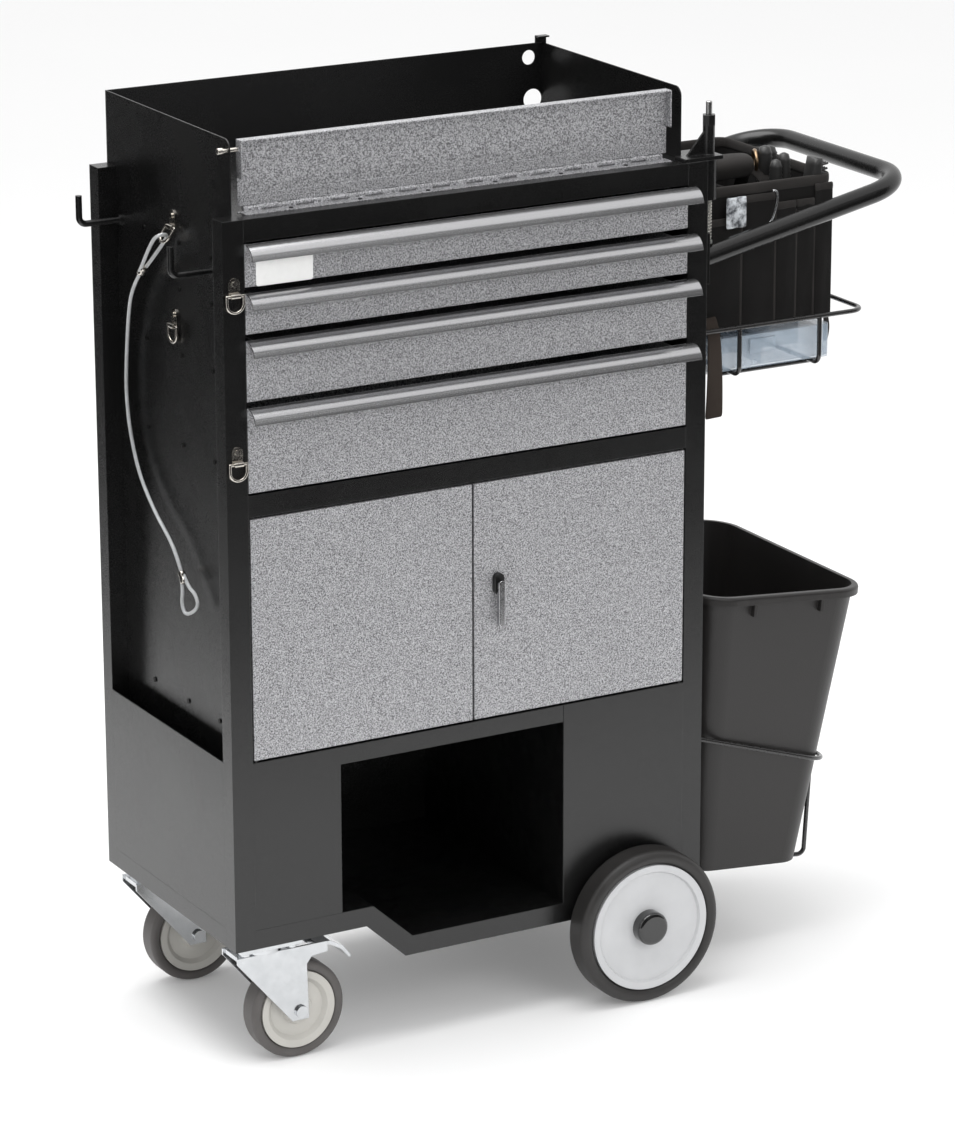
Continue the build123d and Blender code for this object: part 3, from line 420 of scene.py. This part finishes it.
# ---- lanyard
# Six strands of galvanised wire laid together, with a crimped eye at each end. It hangs from
# the first ring and bows out under its own stiffness.
lanyard_points = [
    (-0.46902, 0.0617, 0.96432),
    (-0.46835, 0.0890, 0.9395),
    (-0.46635, 0.1050, 0.8990),
    (-0.46375, 0.1180, 0.8510),
    (-0.46425, 0.1220, 0.8000),
    (-0.46375, 0.1130, 0.7480),
    (-0.46425, 0.0890, 0.7030),
    (-0.46475, 0.0500, 0.6690),
    (-0.46575, 0.0100, 0.6470),
    (-0.46575, -0.0140, 0.6290),
    (-0.46675, -0.0290, 0.6100),
]
rope_radius = 0.0024
strand_radius = 0.0009
strand_count = 6
strand_sides = 6
lay_length = 0.024


def route_line(points, steps=24):
    """Points along the smooth curve that a cord's route controls."""
    curve = bpy.data.curves.new("route", "CURVE")
    curve.dimensions = "3D"
    spline = curve.splines.new("NURBS")
    spline.points.add(len(points) - 1)
    for knot, place in zip(spline.points, points):
        knot.co = (*place, 1.0)
    spline.order_u = 3
    spline.use_endpoint_u = True
    spline.resolution_u = steps
    holder = bpy.data.objects.new("route", curve)
    line = bpy.data.meshes.new_from_object(holder)
    found = [vert.co.copy() for vert in line.vertices]
    bpy.data.objects.remove(holder)
    return found


def directions(line):
    """The way that the line runs at each of its points, and a side way that doesn't twist."""
    side = Vector((1.0, 0.0, 0.0))
    for here, place in enumerate(line):
        ahead = line[min(here + 1, len(line) - 1)] - line[max(here - 1, 0)]
        ahead.normalize()
        side = (side - ahead * side.dot(ahead)).normalized()
        yield place, ahead, side


def grid_faces(rows, across, closed=True, first=0):
    """Four-sided faces between rows of points; closed joins the two ends of each row."""
    faces = []
    for row in range(rows - 1):
        for step in range(across if closed else across - 1):
            a = first + row * across + step
            b = first + row * across + (step + 1) % across
            faces.append((a, b, b + across, a + across))
    return faces


def tubes(centres, radius, sides):
    """Vertices and faces of a closed-ended tube along each list of (place, ahead, side)."""
    verts, faces = [], []
    for line in centres:
        first = len(verts)
        rows = list(line)
        for place, ahead, side in rows:
            other = ahead.cross(side)
            for step in range(sides):
                turn = 2 * pi * step / sides
                verts.append(place + (side * cos(turn) + other * sin(turn)) * radius)
        faces += grid_faces(len(rows), sides, first=first)
        faces.append(list(range(first, first + sides)))
        faces.append(list(range(len(verts) - sides, len(verts))))
    return verts, faces


def strands(line):
    """The centre lines of the strands, twisted once in each lay length."""
    reach = rope_radius - strand_radius
    for number in range(strand_count):
        gone = 0.0
        before = line[0]
        centre = []
        for place, ahead, side in directions(line):
            gone += (place - before).length
            before = place
            turn = 2 * pi * (number / strand_count + gone / lay_length)
            other = ahead.cross(side)
            out = side * cos(turn) + other * sin(turn)
            centre.append(place + out * reach)
        yield directions(centre)


def rope_finish():
    finish, shader, place = new_finish("cable_grey", Metallic=0.35, Coat_Weight=0.7)
    stain = place.noise(90.0, 3.0)
    Link.feed(shader["Base Color"], stain.blend((0.42, 0.43, 0.44), (0.66, 0.67, 0.68)))
    Link.feed(shader["Roughness"], stain * 0.12 + 0.30)
    Link.feed(shader["Normal"], place.bump(place.noise(1800.0, 2.0), 0.00008, 0.5))
    return finish


def crimped_eye(name, end, inward, across, outline):
    """A ferrule crimped on the rope's end, and a loop of the rope beyond it."""
    end = Vector(end)
    along = (end - Vector(inward)).normalized()
    across = (across - along * along.dot(across)).normalized()
    knots = [tuple(end + along * far + across * wide) for far, wide in outline]
    loop_verts, loop_faces = tubes(strands(route_line(knots, 16)), strand_radius, strand_sides)
    loop = new_mesh(f"{name}_loop", loop_verts, loop_faces, galvanised)
    rows = []
    for far, swell in ferrule_profile:
        rows.append((end + along * far, along, across * swell))
    ferrule_verts, ferrule_faces = tubes([rows], ferrule_radius, 24)
    ferrule = new_mesh(f"{name}_ferrule", ferrule_verts, ferrule_faces, nickel)
    for piece in (loop, ferrule):
        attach(piece, "cart_frame")
    return [loop, ferrule]


ferrule_radius = 0.0046
ferrule_profile = [(0.0, 0.75), (0.0012, 1.0), (0.005, 1.0), (0.006, 0.93), (0.010, 0.93)]
ferrule_profile += [(0.011, 1.0), (0.0148, 1.0), (0.016, 0.75)]
galvanised = rope_finish()
lanyard_line = route_line(lanyard_points)
rope_verts, rope_faces = tubes(strands(lanyard_line), strand_radius, strand_sides)
lanyard = new_mesh("lanyard", rope_verts, rope_faces, galvanised)
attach(lanyard, "cart_frame")
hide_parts("lanyard_cable")
top_outline = [(0.004, 0.0022), (0.030, 0.0050), (0.070, 0.0086), (0.0915, 0.0080)]
top_outline += [(0.0915, -0.0080), (0.070, -0.0086), (0.030, -0.0050), (0.004, -0.0022)]
low_outline = [(0.004, 0.0022), (0.022, 0.0045), (0.036, 0.0135), (0.054, 0.0125)]
low_outline += [(0.054, -0.0125), (0.036, -0.0135), (0.022, -0.0045), (0.004, -0.0022)]
top_across = Vector((1.0, 0.0, 0.0))
low_across = Vector((0.32, -0.90, 0.25))
eyes = crimped_eye("top_eye", lanyard_points[0], lanyard_points[1], top_across, top_outline)
eyes += crimped_eye("low_eye", lanyard_points[-1], lanyard_points[-2], low_across, low_outline)
for piece in eyes:
    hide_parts("lanyard_eyes")


# ---- pin spring
# A coil of spring steel wire round the sprung pin, held between the bracket's sleeve and the pin's
# collar. On the cart it shortens against the sleeve as the pin is drawn up; this coil is built
# once, at its resting length.
spring_low, spring_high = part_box("pin_spring")
spring_wire = 0.0009
spring_radius = (spring_high.x - spring_low.x) / 2 - spring_wire
spring_middle = (spring_low + spring_high) / 2
spring_tall = spring_high.z - spring_low.z - 2 * spring_wire
spring_turns = 13
turn_steps = 20
coil_steps = spring_turns * turn_steps
coil_foot = Vector((spring_middle.x, spring_middle.y, spring_low.z + spring_wire))
coil = []
for step in range(coil_steps + 1):
    turn = 2 * pi * step / turn_steps
    reach = Vector((spring_radius * cos(turn), spring_radius * sin(turn), 0.0))
    coil.append(coil_foot + reach + Vector((0, 0, spring_tall * step / coil_steps)))
coil_verts, coil_faces = tubes([directions(coil)], spring_wire, 10)
pin_coil = new_mesh("pin_coil", coil_verts, coil_faces, spring)
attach(pin_coil, "cart_frame")
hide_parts("pin_spring")
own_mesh(pin_coil)


# ---- tool bag
# An open-topped bag sewn from black nylon over a stiff board, with five pockets side by side on
# its front. Its rim and the pockets' top edges are bound with folded webbing.
bag_low, bag_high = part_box("tool_bag")
bag_middle = (bag_low + bag_high) / 2
bag_inset = 0.0075
bag_corner = 0.016
bag_tall = bag_high.z - bag_low.z - 0.004
wall_rows = 16
wall_slack = 0.0025
wall_thick = 0.003


def cloth(name, low, high, pitch, rough=0.72, sheen=0.015):
    """Woven nylon: threads that cross at the given pitch, with dust in the broad hollows."""
    fixed = {"Sheen_Weight": sheen, "Sheen_Roughness": 0.5, "Specular_IOR_Level": 0.18}
    finish, shader, place = new_finish(name, **fixed)
    across = place.node("VectorMath", {"operation": "DOT_PRODUCT"}, {0: place, 1: (1, 1, 0)}, 1)
    upright = place.node("SeparateXYZ", None, {0: place}, output=2)
    thread = 2 * pi / pitch
    warp = across.math("SINE", across * thread, 0.0)
    weft = upright.math("SINE", upright * thread, 0.0)
    weave = warp * weft
    dust = place.noise(22.0, 5.0, 0.6)
    tone = dust * 0.7 + weave * 0.15 + 0.1
    Link.feed(shader["Base Color"], tone.blend(low, high))
    Link.feed(shader["Roughness"], dust * 0.16 + rough)
    Link.feed(shader["Normal"], place.bump(weave, pitch * 0.22, 0.6))
    return finish


def fold(along, up, seed):
    """How far a panel of cloth stands out at a place along and up it, from -1 to 1."""
    slow = sin(along * 17.0 + seed * 1.7 + up * 6.0)
    quick = sin(along * 41.0 + seed * 2.9 - up * 11.0)
    cross = sin(up * 38.0 + seed + along * 9.0)
    return 0.5 * slow + 0.3 * quick + 0.2 * cross


def panel(name, rows, thick, finish, closed=False, floor=False):
    """A sewn panel: a grid of points, one row above another, given its thickness."""
    across = len(rows[0])
    verts = [place for row in rows for place in row]
    faces = grid_faces(len(rows), across, closed)
    if floor:
        faces.append(list(range(across)))
    made = new_mesh(name, verts, faces, finish)
    modify(made, "SOLIDIFY", thickness=thick, offset=0.0)
    modify(made, "SUBSURF", levels=1)
    made.data.polygons.foreach_set("use_smooth", [True] * len(made.data.polygons))
    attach(made, "bag")
    return made


def bag_outline(out):
    """The bag's plan, as points and outward ways, standing out metres beyond its board."""
    wide = bag_high.x - bag_low.x - 2 * bag_inset
    deep = bag_high.y - bag_low.y - 2 * bag_inset
    half_x, half_y = wide / 2 - bag_corner, deep / 2 - bag_corner
    corners = ((1, -1), (1, 1), (-1, 1), (-1, -1))
    for corner, (sx, sy) in enumerate(corners):
        for step in range(7):
            turn = (corner - 1 + step / 6) * pi / 2
            way = Vector((cos(turn), sin(turn), 0.0))
            place = Vector((bag_middle.x + sx * half_x, bag_middle.y + sy * half_y, 0.0))
            yield place + way * (bag_corner + out), way
        next_x, next_y = corners[(corner + 1) % 4]
        start = Vector((sx * half_x, sy * half_y, 0.0)) + way * (bag_corner + out)
        end = Vector((next_x * half_x, next_y * half_y, 0.0)) + way * (bag_corner + out)
        for step in range(1, 24):
            place = start.lerp(end, step / 24)
            yield place + Vector((bag_middle.x, bag_middle.y, 0.0)), way


def bag_rows(low, high, count, reach):
    """Rows of the bag's wall, folded and pulled in towards its floor."""
    for row in range(count + 1):
        up = row / count
        line = []
        for step, (place, way) in enumerate(bag_outline(0.0)):
            slack = fold(step * 0.02, up * 0.2, 3.0) * reach * sin(pi * min(1.0, up * 1.2))
            tuck = 0.006 * (1 - up) ** 6
            spot = place + way * (slack - tuck)
            spot.z = low + (high - low) * up
            line.append(spot)
        yield line


nylon = cloth("bag_nylon", (0.0036, 0.0033, 0.0032), (0.0095, 0.0086, 0.0082), 0.0012)
webbing = cloth("webbing", (0.010, 0.0090, 0.0085), (0.034, 0.0305, 0.0285), 0.0022, 0.66, 0.04)
wall_low = bag_low.z + 0.002
wall_high = bag_low.z + bag_tall
walls = list(bag_rows(wall_low, wall_high, wall_rows, wall_slack))
bag = panel("bag_body", walls, wall_thick, nylon, closed=True, floor=True)
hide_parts("tool_bag")

# pockets: (from, to, top) as shares of the front's length and of the wall's height
front_y = bag_low.y + bag_inset
pocket_x = bag_low.x + 0.012
pocket_long = bag_high.x - bag_low.x - 0.020
pockets = [
    (0.00, 0.30, 0.80),
    (0.30, 0.56, 0.93),
    (0.56, 0.72, 0.86),
    (0.72, 0.86, 0.86),
    (0.86, 1.00, 0.95),
]
pocket_bulge = 0.0026
pocket_crease = 0.0026
pocket_rows = 12
pocket_steps = 14
for number, (start, end, top) in enumerate(pockets, 1):
    rows = []
    for row in range(pocket_rows + 1):
        up = row / pocket_rows
        line = []
        for step in range(pocket_steps + 1):
            share = step / pocket_steps
            swell = sin(pi * share) ** 0.30 * (0.35 + 0.65 * sin(pi * min(1.0, 0.12 + up * 0.8)))
            loose = fold(share * 0.12, up * 0.5, number * 2.3)
            crease = loose * pocket_crease * sin(pi * share)
            x = pocket_x + pocket_long * (start + (end - start) * share)
            y = front_y - 0.0026 - pocket_bulge * swell - crease
            z = wall_low + 0.004 + (bag_tall * top - 0.006) * up
            line.append(Vector((x, y, z)))
        rows.append(line)
    panel(f"bag_pocket_{number}", rows, 0.0014, nylon)
    binding = [[place + Vector((0, 0, dz)) for place in rows[-1]] for dz in (-0.010, 0.0015)]
    panel(f"bag_pocket_{number}_binding", binding, 0.0032, webbing)

# binding over the top edge, and webbing strips down the seams between pockets
rim_rows = [[spot + Vector((0, 0, dz)) for spot in walls[-1]] for dz in (-0.012, -0.006, 0.0025)]
panel("bag_rim_binding", rim_rows, 0.0055, webbing, closed=True)
seam_half = 0.0022
seam_tall = 0.15
seam_y = front_y - 0.0038
for number, (start, end, top) in enumerate(pockets[1:], 1):
    x = pocket_x + pocket_long * start
    strip = []
    for row in range(7):
        z = wall_low + 0.004 + seam_tall * row / 6
        strip.append([Vector((x + dx, seam_y, z)) for dx in (-seam_half, seam_half)])
    panel(f"bag_seam_{number}", strip, 0.0012, webbing)

# dividers inside, which keep the tools apart
divider_places = (0.34, 0.68)
divider_rows, divider_steps = 6, 16
divider_clear = 0.014
divider_wave = 0.003
for number, share in enumerate(divider_places, 1):
    x = bag_low.x + (bag_high.x - bag_low.x) * share
    deep = bag_high.y - bag_low.y - 2 * divider_clear
    divider = []
    for row in range(divider_rows + 1):
        z = wall_low + 0.01 + (bag_tall - 0.05) * row / divider_rows
        line = []
        for step in range(divider_steps + 1):
            y = bag_low.y + divider_clear + deep * step / divider_steps
            wave = divider_wave * fold(step * 0.03, row * 0.04, number)
            line.append(Vector((x + wave, y, z)))
        divider.append(line)
    panel(f"bag_divider_{number}", divider, 0.0025, nylon)

# strap tail: a spare end of brown webbing, sewn to the front by the cabinet, that hangs below it
tail_top = Vector((bag_low.x + 0.023, bag_low.y + 0.001, bag_low.z + 0.030))
tail_long = 0.130
tail_half = 0.0085
tail_clear = 0.0095
tail_rows = 14
tail = []
for row in range(tail_rows + 1):
    down = row / tail_rows
    clear = tail_clear * (1 - (1 - min(1.0, down * 4)) ** 2)
    middle = tail_top + Vector((0.003 * sin(down * 2.4), -clear, -tail_long * down))
    half = tail_half * (1.0 + 0.5 * down)
    twist = 0.1 + 0.4 * down
    side = Vector((cos(twist), -sin(twist) * 0.5, 0.12))
    tail.append([middle + side * (half * (step / 3 - 1)) for step in range(7)])
brown = cloth("brown_webbing", (0.020, 0.0145, 0.0115), (0.052, 0.041, 0.034), 0.0020)
panel("bag_strap_tail", tail, 0.0022, brown)


# ---- things in the bag
# The carrying handles meet in a padded webbing wrap. Round it stand a small bottle, plier grips,
# a bristle brush and a ring, and a snap clip hangs on the front.
def capped(name, rows, finish):
    """A solid of closed rows of points, with a face over each end."""
    across = len(rows[0])
    verts = [spot for row in rows for spot in row]
    faces = grid_faces(len(rows), across)
    faces.append(list(range(across)))
    faces.append(list(range(len(verts) - across, len(verts))))
    return new_mesh(name, verts, faces, finish)


def lathe(name, foot, profile, finish, sides=28):
    """A turned piece: a list of (radius, height above the foot) spun about an upright axis."""
    rows = []
    for radius, height in profile:
        turns = [2 * pi * step / sides for step in range(sides)]
        rows.append([foot + Vector((radius * cos(t), radius * sin(t), height)) for t in turns])
    return capped(name, rows, finish)


def in_bag(made):
    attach(made, "bag")
    return made


def wire_piece(name, points, radius, finish, sides=10):
    """A bent wire along the smooth curve that the points control."""
    verts, faces = tubes([directions(route_line(points, 8))], radius, sides)
    return new_mesh(name, verts, faces, finish)


grips_black = moulding("tool_black", (0.012, 0.012, 0.012), (0.026, 0.0255, 0.025), 0.36)
mouth = wall_high

# padded wrap over the two handles
wrap_from, wrap_to = bag_low.x + 0.062, bag_low.x + 0.128
wrap_y, wrap_z = -0.052, mouth + 0.007
wrap_radius = 0.0155
wrap_rows, wrap_steps = 22, 12
wrap = []
for row in range(wrap_rows + 1):
    turn = radians(-60 + 300 * row / wrap_rows)
    lift = wrap_radius + 0.0012 * sin(3 * turn)
    line = []
    for step in range(wrap_steps + 1):
        share = step / wrap_steps
        pinch = 1.0 - 0.10 * (2 * share - 1) ** 2
        x = wrap_from + (wrap_to - wrap_from) * share
        y = wrap_y + 1.25 * lift * pinch * cos(turn)
        line.append(Vector((x, y, wrap_z + lift * pinch * sin(turn))))
    wrap.append(line)
handle_wrap = panel("bag_handle_wrap", wrap, 0.0026, webbing)
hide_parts("bag_tools")
strap_feet = ((wrap_y - 0.030, -0.012), (wrap_y + 0.045, 0.02))
strap_rows = 12
for number, (side_y, lean) in enumerate(strap_feet, 1):
    for end, x in enumerate((wrap_from + 0.004, wrap_to - 0.004), 1):
        way = -1 if end == 1 else 1
        strap = []
        for row in range(strap_rows + 1):
            down = row / strap_rows
            middle = Vector((x + way * 0.020 * down, wrap_y, wrap_z)).lerp(
                Vector((x + way * 0.030, side_y + lean, mouth - 0.055)), down
            )
            middle.z += 0.012 * sin(pi * down)
            strap.append([middle + Vector((dx, 0, 0)) for dx in (-0.011, -0.004, 0.004, 0.011)])
        panel(f"bag_handle_strap_{number}{end}", strap, 0.0020, webbing)

# ring on the wrap's end, in dull bronze
bronze = plated("bronze_ring", (0.20, 0.13, 0.075), (0.42, 0.30, 0.19), 0.20)
ring_middle = Vector((wrap_to + 0.012, wrap_y, mouth + 0.010))
loop_points = []
for step in range(13):
    turn = radians(-100 + 340 * step / 12)
    spot = Vector((0.006 * cos(turn), 0.014 * cos(turn), 0.014 * sin(turn)))
    loop_points.append(tuple(ring_middle + spot))
in_bag(wire_piece("bag_ring", loop_points, 0.0024, bronze))

# bottle with a white screw cap
bottle_foot = Vector((bag_low.x + 0.040, -0.095, mouth - 0.060))
bottle_profile = [(0.002, 0.0), (0.0135, 0.0005), (0.0145, 0.003), (0.0145, 0.048), (0.0105, 0.055)]
bottle_profile += [(0.0085, 0.057), (0.0085, 0.062), (0.001, 0.0625)]
in_bag(lathe("bag_bottle", bottle_foot, bottle_profile, grips_black))
cap_profile = [(0.001, 0.0), (0.0090, 0.0), (0.0098, 0.001), (0.0098, 0.010), (0.0088, 0.0125)]
cap_profile += [(0.002, 0.0132)]
cap_foot = bottle_foot + Vector((0, 0, 0.0605))
in_bag(lathe("bag_bottle_cap", cap_foot, cap_profile, disc))

# plier grips and a pry bar's handle, ridged where the hand closes
grips = [
    (0.142, -0.098, 0.006, 0.0085),
    (0.158, -0.092, 0.012, 0.0085),
    (0.150, -0.060, 0.016, 0.0095),
    (0.176, -0.030, 0.008, 0.0105),
]
ridges = 14
ridge_pitch = 0.005
for number, (x, y, z, wide) in enumerate(grips, 1):
    profile = [(0.002, -0.070), (wide * 0.8, -0.069)]
    for ridge in range(ridges):
        swell = 1.0 + 0.12 * sin(pi * ridge / (ridges - 1))
        profile.append((wide * swell, -0.060 + ridge * ridge_pitch))
        profile.append((wide * swell * 0.86, -0.0575 + ridge * ridge_pitch))
    profile += [(wide * 0.7, 0.0125), (0.002, 0.0145)]
    place = Vector((bag_low.x + x, y, mouth + z))
    in_bag(lathe(f"bag_grip_{number}", place, profile, grips_black, sides=20))

# bristle brush: a stock with rows of bristle tufts, standing on end at the bag's outer corner
stock_low = Vector((bag_low.x + 0.178, bag_low.y + 0.022, mouth - 0.070))
stock_tall = 0.092
stock_steps = 11
stock_rows = []
for row in range(stock_steps + 1):
    up = row / stock_steps
    lean = Vector((0.010 * up, -0.004 * up, stock_tall * up))
    plan = round_rectangle(0.012 + 0.004 * sin(pi * up), 0.024, 0.004, 3)
    stock_rows.append([stock_low + lean + Vector((x, y, 0)) for x, y in plan])
in_bag(capped("bag_brush_stock", stock_rows, grips_black))
tuft_rows, tuft_columns = 11, 4
tuft_radius = 0.0016
tufts = []
for row in range(tuft_rows):
    for column in range(tuft_columns):
        out_x = 0.006 + 0.010 * row / tuft_rows
        foot = stock_low + Vector((out_x, -0.0085 + 0.0055 * column, 0.018 + 0.0064 * row))
        tufts.append([foot, foot + Vector((0.0115, -0.0006 * column, 0.0015))])
tuft_verts, tuft_faces = tubes([directions(line) for line in tufts], tuft_radius, 6)
in_bag(new_mesh("bag_brush_bristles", tuft_verts, tuft_faces, grips_black))

# window: a crumpled piece of clear film on the front, pale where it catches the light
def window_film():
    finish, shader, place = new_finish("clear_window", Coat_Weight=1.0)
    crumple = place.noise(95.0, 3.0, 0.6).above(0.38, 0.62)
    Link.feed(shader["Base Color"], crumple.blend((0.075, 0.080, 0.088), (0.60, 0.63, 0.66)))
    Link.feed(shader["Roughness"], crumple * 0.12 + 0.12)
    Link.feed(shader["Normal"], place.bump(crumple, 0.0010, 0.6))
    return finish


window_wide, window_tall = 0.030, 0.040
window_steps = 8
window_rows = []
for row in range(window_steps + 1):
    up = row / window_steps
    z = wall_high - 0.050 + window_tall * up
    line = []
    for step in range(window_steps + 1):
        share = step / window_steps
        crease = 0.0020 * sin(share * 9.0 + up * 5.0) * sin(pi * share)
        x = pocket_x + 0.030 + window_wide * share
        line.append(Vector((x, front_y - 0.0125 - crease, z)))
    window_rows.append(line)
panel("bag_window", window_rows, 0.0008, window_film())

# snap clip of bent wire on the front, with three key blades below it
clip_at = Vector((pocket_x + 0.098, front_y - 0.0135, wall_high - 0.020))
hook_points = [(0, 0, 0.012), (0.005, -0.001, 0.013), (0.007, -0.001, 0.004)]
hook_points += [(0.004, -0.001, -0.010), (0.0, -0.001, -0.022)]
hook_points += [(-0.006, -0.001, -0.030), (-0.016, -0.001, -0.036)]
clip_points = [tuple(clip_at + Vector(point)) for point in hook_points]
in_bag(wire_piece("bag_snap_clip", clip_points, 0.0015, bright))
key_count = 3
for number in range(key_count):
    foot = clip_at + Vector((-0.014 - 0.002 * number, -0.002, -0.030 - 0.0055 * number))
    blade = [foot, foot + Vector((-0.016, 0, -0.006)), foot + Vector((-0.032, 0.001, -0.010))]
    rows = [[spot + Vector((0, 0, dz)) for spot in blade] for dz in (-0.0018, 0.0018)]
    made = panel(f"bag_key_{number + 1}", rows, 0.0012, bright)

# zip pull that hangs below the bag's outer corner
pull_at = Vector((bag_high.x + 0.001, bag_low.y + 0.030, bag_low.z + 0.004))
pull_long = 0.036
pull_steps = 7
pull_rows = []
for row in range(pull_steps + 1):
    down = row / pull_steps
    half = 0.0035 + 0.0015 * sin(pi * down)
    middle = pull_at + Vector((0.002 * sin(3 * down), -0.001, -pull_long * down))
    pull_rows.append([middle + Vector((half * (step - 1), 0.0, 0.0)) for step in range(3)])
panel("bag_zip_pull", pull_rows, 0.0022, webbing)


# ---- studio
# A plain pale floor under a wide overhead softbox, with a fill at the front. Black cards that
# only gloss can see keep the upright black panels dark, as flags do round a shiny product.
def floor_finish():
    glow = {"Emission_Color": (1.0, 1.0, 1.0, 1.0), "Emission_Strength": 0.10}
    finish, shader, place = new_finish("floor", Roughness=0.9, Specular_IOR_Level=0.2, **glow)
    wash = place.noise(0.6, 2.0)
    Link.feed(shader["Base Color"], wash.blend((0.80, 0.80, 0.80), (0.84, 0.84, 0.84)))
    return finish


def card_finish():
    even = {"Base_Color": (0.004, 0.004, 0.004, 1.0), "Roughness": 1.0, "Specular_IOR_Level": 0.0}
    return new_finish("flag", **even)[0]


floor_half = 30.0
square = [(-1, -1), (1, -1), (1, 1), (-1, 1)]
floor_verts = [(floor_half * x, floor_half * y, 0.0) for x, y in square]
floor = new_mesh("floor", floor_verts, [(0, 1, 2, 3)], floor_finish(), smooth=False)
flag_black = card_finish()
flags = {
    "front_flag": ((-2.2, -1.5), (3.2, -1.5)),
    "left_flag": ((-1.1, -0.3), (-1.1, 3.0)),
}
flag_low, flag_high = 0.02, 2.2
for name, (near, far) in flags.items():
    corners = [(*near, flag_low), (*far, flag_low), (*far, flag_high), (*near, flag_high)]
    flag = new_mesh(name, corners, [(0, 1, 2, 3)], flag_black, smooth=False)
    flag.visible_camera = False
    flag.visible_diffuse = False
    flag.visible_shadow = False
    flag.visible_transmission = False


def softbox(name, place, aim, size, power):
    """A rectangular area light at place that faces aim."""
    lamp = bpy.data.lights.new(name, "AREA")
    lamp.shape = "RECTANGLE"
    lamp.size, lamp.size_y = size
    lamp.energy = power
    holder = bpy.data.objects.new(name, lamp)
    bpy.context.scene.collection.objects.link(holder)
    holder.location = place
    holder.rotation_euler = (Vector(aim) - Vector(place)).to_track_quat("-Z", "Y").to_euler()


middle = (0.0, 0.0, 0.6)
softbox("overhead", (-0.5, 0.1, 3.2), middle, (2.6, 2.2), 75.0)
softbox("front_fill", (0.6, -4.0, 2.6), middle, (2.4, 1.8), 40.0)
softbox("left_fill", (-3.6, -0.6, 2.4), middle, (1.6, 1.6), 8.0)
world = bpy.data.worlds.new("studio")
world.use_nodes = True
backdrop = world.node_tree.nodes["Background"].inputs
backdrop["Color"].default_value = (1.0, 1.0, 1.0, 1.0)
backdrop["Strength"].default_value = 1.0
bpy.context.scene.world = world
bpy.context.scene.view_settings.view_transform = "Standard"

# ---- camera
# A long lens that stands well back, to the cart's front left and a little above the drawers, so
# that upright edges stay nearly upright.
camera_turn = radians(-29.397)
camera_up = radians(17.317)
camera_roll = radians(-0.17)
camera_far = 5.8194
camera_aim = Vector((-0.0360, 0.0, 0.5465))
lens = bpy.data.cameras.new("camera")
lens.lens = 146.44
lens.sensor_width = 36.0
lens.clip_end = 100.0
camera = bpy.data.objects.new("camera", lens)
bpy.context.scene.collection.objects.link(camera)
level = cos(camera_up)
away = Vector((sin(camera_turn) * level, -cos(camera_turn) * level, sin(camera_up)))
camera.location = camera_aim + away * camera_far
camera.rotation_euler = (-away).to_track_quat("-Z", "Y").to_euler()
camera.rotation_euler.rotate_axis("Z", camera_roll)
bpy.context.scene.camera = camera
